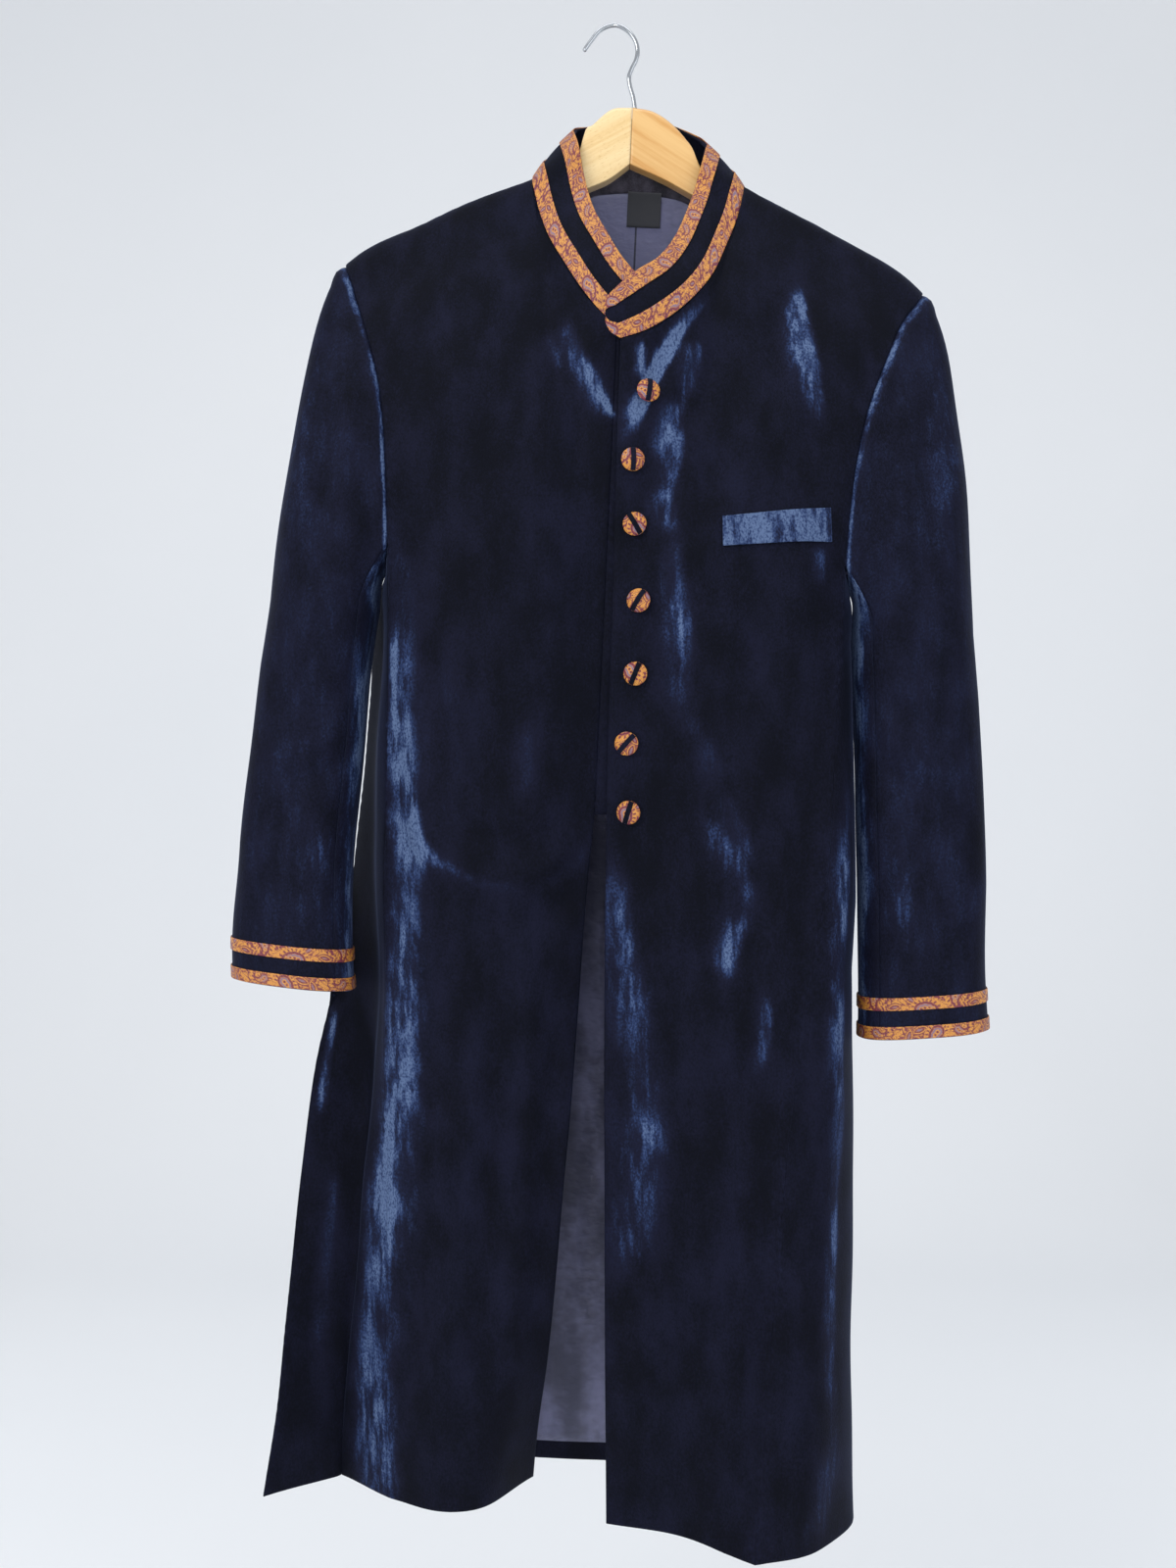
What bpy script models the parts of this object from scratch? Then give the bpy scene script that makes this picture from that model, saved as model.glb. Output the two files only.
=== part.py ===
"""Sherwani coat of navy velvet, buttoned, hanging from its wooden hanger.

The coat is built in its own upright frame, in millimetres: x runs to the
wearer's left, y to the back, z up, with x = 0 on the middle of the coat and
z = 0 at the hook's crown.  An empty turns that frame by the small lean of the
hanger and puts the inside of the hook's crown at the world origin.

Every cloth piece is a sheet: a grid of outer points read from smooth curves
through short tables, given a wall inwards.  Neighbours at a seam share the
seam's points and its mitre, and each is pulled back by half the seam gap.
"""

import math

import bpy
import numpy as np
from mathutils import Matrix

MM = 0.001

# driving sizes, millimetres
LEAN = 2.73            # degrees that the hanger leans to the wearer's left
AXIS_FROM_HOOK = 25.0  # from the hook's crown to the middle of the coat
SEAM_GAP = 0.4
VELVET = 2.6           # velvet with its interlining and lining
SLEEVE_CLOTH = 2.2
LINING = 1.0
TRIM = 0.9             # brocade strip
LAYER_GAP = 0.35
ARMHOLE_Z = -440.0     # where the front and back seams leave the armhole
SLIT_TOP_Z = -800.0
HEM_Z = -1187.0        # the fronts and side panels
BACK_HEM_Z = -1181.0
LINING_HEM_Z = -1166.0
SHOULDER_ROUND = 12.0  # radius of the cloth over the hanger's arm
STAND_END_Z = -641.0   # lower end of the button stand
STAND_EDGE_X = 20.0
BUTTON_RADIUS = 9.0
BUTTON_RISE = 5.0
BUTTON_STRIP = 3.8
HANGER_THICK = 12.0
HOOK_WIRE = 3.6
HOOK_RINGS = 40
HOOK_SIDES = 10
CUFF_BAND = 9.8
CUFF_BETWEEN = 12.4
COLLAR_BOW = 2.0
COLLAR_SETBACK = 0.4   # more gap at the neck seam, which bends
CORNER_SETBACK = 1.4   # and more where it meets the shoulder seam
SLIT_SETBACK = 0.5      # more gap at the side panel's back edge, a sharp bend
BAND_SETBACK = 0.16    # part of its width that the lower collar band keeps off the seam
STAND_TOP_Z = -275.0   # the stand's free edge starts lower than its seam by the drop
STAND_DROP = 24.0
STAND_BEHIND = 5.0     # behind the left front's outer face
BUTTON_LIFT = 1.2
SHANK_RADIUS = 3.0
STRIP_LIFT = 0.3
STRIP_THICK = 0.8
WELT_THICK = 1.6
WELT_LIFT = 0.9
WELT_STEPS = 6
LABEL_THICK = 1.0
INNER_SETBACK = 1.0
MITRE_LIMIT = 0.3      # least cosine between a wall and its mitre


def table(columns, *rows):
    """A short table as a dictionary of named columns."""
    values = np.array(rows, float).T
    return dict(zip(columns.split(), values))


def spline(knots, values, at):
    """Smooth curve through values at increasing knots, read at the places at."""
    knots = np.asarray(knots, float)
    values = np.asarray(values, float)
    at = np.clip(np.asarray(at, float), knots[0], knots[-1])
    span = np.diff(knots).reshape((-1,) + (1,) * (values.ndim - 1))
    slope = np.diff(values, axis=0) / span
    tangent = np.empty_like(values)
    tangent[0] = slope[0]
    tangent[-1] = slope[-1]
    tangent[1:-1] = (slope[:-1] * span[1:] + slope[1:] * span[:-1]) / (span[1:] + span[:-1])
    k = np.clip(np.searchsorted(knots, at, side="right") - 1, 0, len(knots) - 2)
    shape = (-1,) + (1,) * (values.ndim - 1)
    width = (knots[k + 1] - knots[k]).reshape(shape)
    t = ((at - knots[k]) / (knots[k + 1] - knots[k])).reshape(shape)
    start = (1 + 2 * t) * (1 - t) ** 2 * values[k] + t * (1 - t) ** 2 * width * tangent[k]
    end = t * t * (3 - 2 * t) * values[k + 1] - t * t * (1 - t) * width * tangent[k + 1]
    return start + end


def column_at(data, name, z):
    """One column of a table by height; the table runs downwards."""
    return spline(-data["z"], data[name], -np.asarray(z, float))


def along(points, fractions):
    """Points of a polyline's smooth curve at fractions of its length."""
    points = np.asarray(points, float)
    steps = np.linalg.norm(np.diff(points, axis=0), axis=1)
    lengths = np.concatenate([[0.0], np.cumsum(steps)])
    return spline(lengths / lengths[-1], points, fractions)


def unit(vectors):
    length = np.linalg.norm(vectors, axis=-1, keepdims=True)
    return vectors / np.maximum(length, 1e-9)


# ---------------------------------------------------------------- tables

# Neck seam from the shoulder down to the front end, with the collar's free
# edge over each of its points.
NECK_LEFT = table(
    "x y z free_x free_y free_z",
    (86, 0, -126, 54, 5, -90),
    (85, -9, -134, 51, -10, -107),
    (81, -17, -155, 46, -15, -131),
    (72, -31, -184, 39, -26, -157),
    (61, -45, -213, 30, -40, -183),
    (45, -60, -238, 17, -56, -206),
    (25, -72, -259, 1, -68, -221),
    (7, -80, -272, -10, -76, -233),
    (-9, -84, -279, -18, -81, -243),
)
NECK_RIGHT = table(
    "x y z free_x free_y free_z",
    (-86, 0, -126, -55, 5, -84),
    (-86, -9, -133, -51, -10, -99),
    (-82, -17, -151, -46, -14, -122),
    (-72, -31, -181, -37, -26, -155),
    (-56, -48, -211, -25, -41, -181),
    (-39, -58, -237, -11, -50, -205),
    (-24, -65, -255, 1, -56, -220),
    (-12, -69, -265, 9, -60, -229),
)
# the same from the shoulder to the centre back; the free edge of the
# wearer's left and right halves differs only next to the shoulder
NECK_BACK = table(
    "x y z free_x free_y free_z right_x right_z",
    (86, 0, -126, 54, 5, -90, 55, -84),
    (81, 13, -117, 50, 18, -80, 53, -76),
    (64, 25, -108, 39, 26, -71, 40, -70),
    (33, 34, -101, 20, 31, -62, 20, -62),
    (0, 37, -99, 0, 33, -58, 0, -58),
)
# rise of the shoulder line over a straight one, by its share from the neck
SHOULDER_ARCH = table(
    "share rise",
    (0, 0), (0.2, 2), (0.4, 4), (0.6, 5.5), (0.8, 5.5), (0.92, 3.5), (1, 0),
)
# rounded end of the left collar, past the front's edge
COLLAR_TAB = table(
    "x y z free_x free_y free_z",
    (-17, -85, -275, -22, -83, -249),
    (-21, -85, -267, -23, -84, -256),
)
# end of the right collar, hidden under the left one
COLLAR_UNDER = table(
    "x y z free_x free_y free_z",
    (2, -71, -273, 17, -63, -238),
    (12, -73, -280, 24, -65, -246),
)
# Armhole from the shoulder tip down: front edge, then back edge.
ARMHOLE_LEFT = table(
    "z x front_y back_x back_y",
    (-206, 236, 0, 236, 0),
    (-217, 229, -7, 230, 4),
    (-231, 219, -15, 223, 8),
    (-277, 199, -37, 208, 13),
    (-320, 185, -50, 199, 16),
    (-355, 178, -58, 193, 16),
    (-397, 174, -63, 188, 14),
    (-440, 173, -64, 186, 12),
)
ARMHOLE_RIGHT = table(
    "z x front_y back_x back_y",
    (-206, -235, 0, -235, 0),
    (-217, -230, -7, -231, 4),
    (-240, -221, -17, -222, 9),
    (-272, -209, -34, -211, 13),
    (-305, -198, -46, -203, 16),
    (-333, -192, -54, -197, 16),
    (-380, -186, -61, -191, 14),
    (-440, -182, -62, -189, 12),
)
UNDERARM_DIP = 17.0

# Level sections of each half below the armhole: the front's edge, middle and
# fold, the seam to the side panel, the side panel's two folds and its back
# edge.
SECTION_LEFT = table(
    "z edge_x edge_y mid_x mid_y fold_x fold_y seam_x seam_y one_x one_y two_x two_y back_x back_y",
    (-440, -7, -85, 80, -93, 138, -84, 173, -64, 179, -42, 184, -14, 186, 12),
    (-480, -6, -85, 80, -94, 138, -87, 171, -69, 177, -46, 180, -17, 194, 16),
    (-560, -5, -84, 82, -94, 138, -91, 169, -77, 179, -55, 184, -22, 199, 17),
    (-670, -2, -80, 84, -92, 136, -93, 167, -85, 184, -66, 193, -32, 203, 17),
    (-800, 3, -74, 86, -88, 128, -93, 152, -93, 181, -80, 199, -40, 203, 14),
    (-940, 10, -70, 85, -84, 120, -93, 142, -100, 180, -86, 205, -44, 203, 9),
    (-1080, 17, -68, 84, -82, 114, -98, 136, -111, 182, -92, 210, -48, 207, 4),
    (-1187, 23, -67, 84, -82, 112, -104, 132, -118, 183, -94, 218, -46, 211, -4),
)
SECTION_RIGHT = table(
    "z edge_x edge_y mid_x mid_y fold_x fold_y seam_x seam_y one_x one_y two_x two_y back_x back_y",
    (-440, -12, -81, -85, -93, -142, -84, -182, -62, -185, -42, -188, -16, -189, 12),
    (-480, -12, -81, -85, -94, -142, -86, -179, -66, -181, -43, -183, -14, -198, 17),
    (-560, -12, -79, -85, -94, -141, -87, -176, -67, -179, -41, -183, -9, -202, 19),
    (-641, -12, -75, -85, -91, -140, -85, -174, -64, -178, -39, -184, -9, -205, 19),
    (-740, -16, -64, -85, -85, -138, -79, -170, -59, -176, -42, -184, -18, -213, 14),
    (-800, -17, -59, -85, -80, -135, -74, -168, -56, -174, -42, -184, -22, -222, 9),
    (-860, -19, -57, -85, -76, -133, -71, -165, -54, -177, -36, -186, -7, -229, -3),
    (-940, -22, -54, -85, -71, -130, -67, -160, -51, -180, -34, -188, -11, -233, -20),
    (-1060, -27, -42, -85, -66, -126, -62, -155, -48, -184, -25, -192, -11, -236, -37),
    (-1130, -32, -16, -82, -60, -123, -60, -152, -45, -187, -16, -195, -12, -238, -46),
    (-1187, -35, 4, -80, -57, -118, -58, -149, -43, -187, -10, -197, -13, -244, -51),
)
FRONT_STATIONS = (0.0, 0.5, 0.8, 1.0)
SIDE_STATIONS = (0.0, 0.34, 0.68, 1.0)

# Back panel: half width and depth of its blade and centre, and its own free
# edges below the slits.
BACK_SECTION = table(
    "z left_x left_y right_x right_y blade_x blade_y centre_y",
    (-440, 186, 12, -189, 12, 140, 28, 29),
    (-480, 194, 16, -198, 17, 142, 28, 28),
    (-560, 199, 17, -202, 19, 142, 28, 28),
    (-641, 202, 17, -205, 19, 142, 28, 28),
    (-740, 203, 16, -213, 14, 144, 28, 28),
    (-800, 203, 14, -222, 9, 146, 28, 28),
    (-860, 199, 19, -219, 24, 152, 28, 28),
    (-940, 200, 22, -213, 26, 152, 28, 28),
    (-1080, 202, 23, -211, 27, 150, 28, 28),
    (-1187, 204, 23, -214, 27, 150, 28, 28),
)
BACK_STATIONS = (0.0, 0.75, 1.0)

# Sleeve sections below the armhole, by height; slant is how far each drops
# towards the body, as a share of its width.
SLEEVE_LEFT = table(
    "z inner outer front back slant",
    (-484, 185, 280, -77, 14, 0.0),
    (-540, 189, 286, -75, 10, 0.02),
    (-610, 194, 293, -73, 6, 0.05),
    (-700, 200, 299, -71, 3, 0.09),
    (-770, 205, 304, -69, 0, 0.12),
    (-801, 206, 307, -68, -2, 0.125),
)
SLEEVE_RIGHT = table(
    "z inner outer front back slant",
    (-484, -191, -274, -77, 14, 0.0),
    (-540, -194, -279, -75, 10, 0.01),
    (-610, -197, -285, -73, 6, 0.03),
    (-688, -201, -291, -71, 3, 0.05),
    (-740, -199, -293, -69, 1, 0.06),
    (-786, -195, -290, -68, -2, 0.066),
)

# Button centres on the left front, and the turn of the strip across each.
BUTTONS = table(
    "x z strip",
    (13, -318, 84),
    (4, -371, 92),
    (8, -420, 123),
    (14, -478, 60),
    (14, -533, 70),
    (10, -586, 50),
    (14, -638, 75),
)
# corners of the breast welt
WELT = table(
    "x z",
    (74, -411),
    (157, -398),
    (159, -424),
    (75, -434),
)
LABEL = table("x z", (-8, -121), (20, -121), (20, -151), (-8, -151))

# Front outline of the hanger from its middle joint to where the arms pass
# under the shoulders: top edge of the left and the right arm, then the lower
# edge, alike on both.
HANGER_TOP = table(
    "left_x left_z right_x right_z",
    (-8, -66, -8, -66),
    (10, -69, -26, -69),
    (26, -79, -40, -82),
    (36, -89, -46, -88),
    (43, -98, -48, -97),
    (47, -107, -51, -109),
    (60, -125, -61, -123),
    (84, -143, -84, -143),
)
HANGER_LOW = table(
    "x z",
    (24, -126), (40, -134), (60, -144), (100, -160), (140, -180), (180, -202), (220, -226),
)
HANGER_JOINT = (-8.0, -113.0)
HANGER_ARM_FROM = 104.0
HANGER_TIP_X = 214.0
HANGER_UNDER = 4.9     # from the shoulder line down to the arm
# centre line of the hook's wire
HOOK_ROUTE = table(
    "x z",
    (-6, -65.6), (-8, -56), (-11, -47), (-12, -40), (-10, -33), (-7, -26),
    (-6, -20), (-7.5, -12), (-12.5, -4.5), (-18, -0.4), (-25, 1.8), (-32, 0.2),
    (-38, -3.5), (-43, -10), (-47, -16), (-50, -21),
)

# rows and columns of the sheets
YOKE_ROWS = np.array([0, 0.008, 0.035, 0.12, 0.26, 0.42, 0.6, 0.8, 1.0])
UNDERARM_ROW = len(YOKE_ROWS) - 1
FACING_ROW = 3
BODY_Z = np.array([
    -440, -480, -520, -580, -641, -700, -750, -800, -860, -940, -1020, -1080, -1130, HEM_Z,
])
SLIT_ROW = list(BODY_Z).index(SLIT_TOP_Z)
STAND_ROW = list(BODY_Z).index(STAND_END_Z)
NECK_STEPS = 8
SHOULDER_STEPS = 6
BACK_NECK_STEPS = 5
SIDE_STEPS = 4
COLLAR_ENDS = 2
NECK_SHARE = 0.5        # part of the front's width that lies under the neck
BACK_NECK_SHARE = 0.42
COLLAR_ROWS = np.array([0, 0.31, 0.69, 1.0])
CAP_ROWS = np.array([0, 0.06, 0.18, 0.36, 0.58, 0.8, 1.0])
FRONT_SEAM_ANGLE = 138.0
BACK_SEAM_ANGLE = 222.0


# ---------------------------------------------------------------- surfaces

def seam_points(data, free=False):
    names = ("free_x", "free_y", "free_z") if free else ("x", "y", "z")
    return np.stack([data[name] for name in names], axis=1)


def patch(top, bottom, left, right, s, v):
    """Surface between four edge curves: top and bottom by s, sides by v."""
    s = s[:, None, None]
    v = v[None, :, None]
    top, bottom = top[:, None, :], bottom[:, None, :]
    left, right = left[None, :, :], right[None, :, :]
    across = (1 - v) * top + v * bottom + (1 - s) * left + s * right
    corners = ((1 - s) * (1 - v) * left[:, :1] + s * (1 - v) * right[:, :1]
               + (1 - s) * v * left[:, -1:] + s * v * right[:, -1:])
    return across - corners


def shoulder_roll(points, s, v, neck_share):
    """How far the cloth stands out where it rolls over the hanger's arm."""
    drop = points[:, :1, 2] - points[:, :, 2]
    part = np.clip(drop / SHOULDER_ROUND, 0.0, 1.0)
    roll = SHOULDER_ROUND * np.sqrt(1.0 - (1.0 - part) ** 2)
    near_neck = np.clip((s - neck_share) / 0.16 + 0.5, 0.0, 1.0)[:, None]
    near_neck[s < neck_share - 0.01] = 0.0
    return roll * (1.0 - v[None, :]) * near_neck


def section(data, names, stations, s, z):
    """Points of level sections of a table's named stations."""
    xs = np.stack([column_at(data, name + "_x", z) for name in names])
    ys = np.stack([column_at(data, name + "_y", z) for name in names])
    x = spline(stations, xs, s)
    y = spline(stations, ys, s)
    return np.stack([x, y, np.broadcast_to(z, x.shape)], axis=-1)


def shoulder_line(neck_point, tip, share):
    """Shoulder seam from the neck to the tip, arched over the hanger's arm."""
    line = neck_point + share[:, None] * (tip - neck_point)
    line[:, 2] += spline(SHOULDER_ARCH["share"], SHOULDER_ARCH["rise"], share)
    return line


def front_grid(half, s, v, z):
    """Front panel from its edge to the side seam, shoulder to hem."""
    neck, arm, levels = half["neck"], half["armhole"], half["section"]
    neck_line = seam_points(neck)[::-1]
    tip = np.array([arm["x"][0], 0.0, arm["z"][0]])
    over = s <= NECK_SHARE
    top = np.empty((len(s), 3))
    top[over] = along(neck_line, s[over] / NECK_SHARE)
    rest = (s[~over] - NECK_SHARE) / (1 - NECK_SHARE)
    top[~over] = shoulder_line(neck_line[-1], tip, rest)
    names = ("edge", "mid", "fold", "seam")
    bottom = section(levels, names, FRONT_STATIONS, s, np.array([ARMHOLE_Z]))[:, 0]
    left = top[0] + v[:, None] * (bottom[0] - top[0])
    arm_z = tip[2] + v * (ARMHOLE_Z - tip[2])
    right = np.stack([column_at(arm, "x", arm_z), column_at(arm, "front_y", arm_z), arm_z], axis=1)
    yoke = patch(top, bottom, left, right, s, v)
    yoke[..., 1] -= shoulder_roll(yoke, s, v, NECK_SHARE)
    body = section(levels, names, FRONT_STATIONS, s, z[1:])
    return np.concatenate([yoke, body], axis=1)


def side_grid(half, s, z):
    """Side panel from the front seam to its back edge, underarm to hem."""
    names = ("seam", "one", "two", "back")
    body = section(half["section"], names, SIDE_STATIONS, s, z)
    body[:, 0, 2] -= UNDERARM_DIP * np.sin(math.pi * s)
    return body


def back_half(half, s, v, z):
    """Back panel from its middle to one side, neck to hem."""
    side = half["side"]
    neck_line = seam_points(NECK_BACK)[::-1] * (side, 1, 1)
    arm = half["armhole"]
    tip = np.array([arm["x"][0], 0.0, arm["z"][0]])
    over = s <= BACK_NECK_SHARE
    top = np.empty((len(s), 3))
    top[over] = along(neck_line, s[over] / BACK_NECK_SHARE)
    rest = (s[~over] - BACK_NECK_SHARE) / (1 - BACK_NECK_SHARE)
    top[~over] = shoulder_line(neck_line[-1], tip, rest)
    body = back_levels(half, s, z)
    bottom = body[:, 0]
    middle_z = top[0, 2] + v * (ARMHOLE_Z - top[0, 2])
    middle_y = 29 + (top[0, 1] - 29) * (1 - v) ** 3
    left = np.stack([np.zeros_like(v), middle_y, middle_z], axis=1)
    arm_z = tip[2] + v * (ARMHOLE_Z - tip[2])
    right = np.stack([column_at(arm, "back_x", arm_z), column_at(arm, "back_y", arm_z), arm_z], axis=1)
    yoke = patch(top, bottom, left, right, s, v)
    yoke[..., 1] += shoulder_roll(yoke, s, v, BACK_NECK_SHARE)
    return np.concatenate([yoke, body[:, 1:]], axis=1)


def back_levels(half, s, z):
    """Level sections of the back, from its middle to one side."""
    name = "left" if half["side"] > 0 else "right"
    z = np.where(z < BACK_HEM_Z, BACK_HEM_Z, z)
    edge_x = column_at(BACK_SECTION, name + "_x", z)
    edge_y = column_at(BACK_SECTION, name + "_y", z)
    blade_x = column_at(BACK_SECTION, "blade_x", z) * half["side"]
    blade_y = column_at(BACK_SECTION, "blade_y", z)
    centre_y = column_at(BACK_SECTION, "centre_y", z)
    xs = np.stack([np.zeros_like(z), blade_x, edge_x])
    ys = np.stack([centre_y, blade_y, edge_y])
    x = spline(BACK_STATIONS, xs, s)
    y = spline(BACK_STATIONS, ys, s)
    return np.stack([x, y, np.broadcast_to(z, x.shape)], axis=-1)


def sleeve_ring(data, angles, z):
    """Rounded sections of a sleeve; angle 0 is outermost, 90 the front."""
    inner = column_at(data, "inner", z)
    outer = column_at(data, "outer", z)
    front = column_at(data, "front", z)
    back = column_at(data, "back", z)
    c, s = np.cos(angles)[:, None], np.sin(angles)[:, None]
    power = 0.82
    x = (inner + outer) / 2 + (outer - inner) / 2 * np.sign(c) * np.abs(c) ** power
    y = (front + back) / 2 + (front - back) / 2 * np.sign(s) * np.abs(s) ** power
    towards_body = np.abs((inner + outer) / 2) - np.abs(x)
    return np.stack([x, y, z - column_at(data, "slant", z) * towards_body], axis=-1)


def sleeve_grid(half, armhole, angles, cap, z):
    """Sleeve from the armhole's points to the cuff.

    The cap leaves the armhole outwards and bends down into the first level
    section; cap holds its rows as fractions and z the level rows.
    """
    rings = sleeve_ring(half["sleeve"], angles, z)
    first = rings[:, 0]
    outness = np.clip(np.cos(angles), 0, 1)
    frontness = np.abs(np.sin(angles))
    start = np.zeros_like(first)
    start[:, 0] = half["side"] * (14 + 56 * outness + 16 * frontness)
    start[:, 1] = (first[:, 1] - armhole[:, 1]) * 0.8
    start[:, 2] = -16 - 60 * outness - 40 * frontness
    reach = np.linalg.norm(first - armhole, axis=1)
    end = np.zeros_like(first)
    end[:, 0] = half["side"] * 14 * outness
    end[:, 2] = -reach
    t = cap[None, :, None]
    a, b = armhole[:, None], first[:, None]
    head = ((1 + 2 * t) * (1 - t) ** 2 * a + t * (1 - t) ** 2 * start[:, None]
            + t * t * (3 - 2 * t) * b - t * t * (1 - t) * end[:, None])
    return np.concatenate([head, rings[:, 1:]], axis=1)


# ---------------------------------------------------------------- sheets

def new_sheet(grid, turn):
    """A grid of outer points with normals and the directions of its wall.

    Rows run down; turn is 1 where columns run to the wearer's left along the
    front, and -1 where they run the other way.
    """
    across = np.gradient(grid, axis=0)
    down = np.gradient(grid, axis=1)
    normals = unit(np.cross(down, across)) * turn
    return {"grid": grid, "turn": turn, "normals": normals, "offsets": normals.copy()}


def join(*edges):
    """Give pieces that meet along a seam one mitre for their cut edges.

    Each edge is (sheet, index); like points of the edges coincide.
    """
    views = [piece["normals"][index].reshape(-1, 3) for piece, index in edges]
    together = unit(sum(views))
    for (piece, index), own in zip(edges, views):
        cosine = np.sum(together * own, axis=1, keepdims=True)
        mitred = np.where(cosine > MITRE_LIMIT, together / np.maximum(cosine, MITRE_LIMIT), own)
        piece["offsets"][index] = mitred.reshape(piece["normals"][index].shape)


def part_of(piece, columns=slice(None), rows=slice(None)):
    """A smaller sheet made of some columns and rows of another."""
    cut = {key: piece[key][columns][:, rows] for key in ("grid", "normals", "offsets")}
    cut["turn"] = piece["turn"]
    return cut


def pulled_back(grid, gap=SEAM_GAP / 2):
    """The grid with each of its four edges drawn in by half a seam's gap."""
    out = grid.copy()
    out[0] += unit(grid[1] - grid[0]) * gap
    out[-1] += unit(grid[-2] - grid[-1]) * gap
    out[:, 0] += unit(grid[:, 1] - grid[:, 0]) * gap
    out[:, -1] += unit(grid[:, -2] - grid[:, -1]) * gap
    return out


def wall_mesh(outer, inner, turn, closed=False):
    """Vertices and triangles of the wall between two like grids.

    closed joins the last column to the first one, as round a cuff.
    """
    n, m = outer.shape[:2]
    points = np.concatenate([outer.reshape(-1, 3), inner.reshape(-1, 3)])
    index = np.arange(n * m).reshape(n, m)
    if closed:
        index = np.concatenate([index, index[:1]])
    a, b = index[:-1, :-1].ravel(), index[1:, :-1].ravel()
    c, d = index[1:, 1:].ravel(), index[:-1, 1:].ravel()
    skin = np.concatenate([np.stack([a, d, c], 1), np.stack([a, c, b], 1)])
    faces = [skin, skin[:, ::-1] + n * m]
    rims = [index[:, 0], index[:, -1][::-1]]
    if not closed:
        rims += [index[0][::-1], index[-1]]
    for rim in rims:
        p, q = rim[:-1], rim[1:]
        faces.append(np.stack([p, q, q + n * m], 1))
        faces.append(np.stack([p, q + n * m, p + n * m], 1))
    faces = np.concatenate(faces)
    if turn < 0:
        faces = faces[:, ::-1]
    return points, faces


# ---------------------------------------------------------------- objects

def clear_scene():
    for old in list(bpy.data.objects):
        bpy.data.objects.remove(old, do_unlink=True)


def hex_colour(code):
    """Linear RGBA of an sRGB hex colour."""
    channels = [int(code[i:i + 2], 16) / 255 for i in (0, 2, 4)]
    linear = [c / 12.92 if c <= 0.04045 else ((c + 0.055) / 1.055) ** 2.4 for c in channels]
    return (*linear, 1.0)


def material(name, code, roughness, metallic=0.0):
    made = bpy.data.materials.get(name)
    if made:
        return made
    made = bpy.data.materials.new(name)
    made.use_nodes = True
    shader = made.node_tree.nodes["Principled BSDF"]
    shader.inputs["Base Color"].default_value = hex_colour(code)
    shader.inputs["Roughness"].default_value = roughness
    shader.inputs["Metallic"].default_value = metallic
    made.diffuse_color = hex_colour(code)
    return made


MATERIALS = {
    "velvet": ("navy_silk_velvet", "10141f", 0.8, 0.0),
    "brocade": ("gold_maroon_brocade", "b0702f", 0.6, 0.0),
    "lining": ("charcoal_satin_lining", "3a3b48", 0.35, 0.0),
    "label": ("black_woven_label", "15151a", 0.7, 0.0),
    "wood": ("clear_varnished_pine", "e8c184", 0.45, 0.0),
    "steel": ("chromed_steel_wire", "c9ccd0", 0.2, 1.0),
}


def add_object(name, points, faces, kind, frame):
    """A named object from points in millimetres of the coat's frame."""
    mesh = bpy.data.meshes.new(name)
    mesh.from_pydata((np.asarray(points) * MM).tolist(), [], [list(map(int, face)) for face in faces])
    mesh.update()
    mesh.shade_smooth()
    mesh.set_sharp_from_angle(angle=math.radians(50))
    mesh.materials.append(material(*MATERIALS[kind]))
    made = bpy.data.objects.new(name, mesh)
    bpy.context.collection.objects.link(made)
    made.parent = frame
    return made


def add_sheet(name, piece, thick, kind, frame, out=0.0, gap=SEAM_GAP / 2, closed=False):
    """A wall of cloth from a sheet; out lifts its outer face off the grid."""
    grid = piece["grid"] if closed else pulled_back(piece["grid"], gap)
    outer = grid + piece["offsets"] * out
    inner = grid + piece["offsets"] * (out - thick)
    points, faces = wall_mesh(outer, inner, piece["turn"], closed)
    return add_object(name, points, faces, kind, frame)


# ---------------------------------------------------------------- the coat

LEFT = {"side": 1, "neck": NECK_LEFT, "armhole": ARMHOLE_LEFT, "section": SECTION_LEFT,
        "sleeve": SLEEVE_LEFT, "name": "left"}
RIGHT = {"side": -1, "neck": NECK_RIGHT, "armhole": ARMHOLE_RIGHT, "section": SECTION_RIGHT,
         "sleeve": SLEEVE_RIGHT, "name": "right"}


def stepped(split, before, after):
    """Places from 0 to split and on to 1 in even steps."""
    return np.concatenate([np.linspace(0, split, before + 1), np.linspace(split, 1, after + 1)[1:]])


def body_sheets():
    """Fronts, side panels and back, with their shared seams' points."""
    s_front = stepped(NECK_SHARE, NECK_STEPS, SHOULDER_STEPS)
    s_back = stepped(BACK_NECK_SHARE, BACK_NECK_STEPS, SHOULDER_STEPS)
    s_side = np.linspace(0, 1, SIDE_STEPS + 1)
    pieces, backs = {}, {}
    for half in (LEFT, RIGHT):
        front = front_grid(half, s_front, YOKE_ROWS, BODY_Z)
        flank = side_grid(half, s_side, BODY_Z)
        back = back_half(half, s_back, YOKE_ROWS, BODY_Z)
        # above the slit the side panel's edge is the back's own edge
        flank[-1, :SLIT_ROW + 1] = back[-1, UNDERARM_ROW:UNDERARM_ROW + SLIT_ROW + 1]
        flank[0, 0] = front[-1, UNDERARM_ROW]
        pieces["front_" + half["name"]] = new_sheet(front, half["side"])
        pieces["side_" + half["name"]] = new_sheet(flank, half["side"])
        backs[half["name"]] = back
    whole = np.concatenate([backs["right"][::-1], backs["left"][1:]])
    pieces["back"] = new_sheet(whole, -1)
    return pieces


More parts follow.
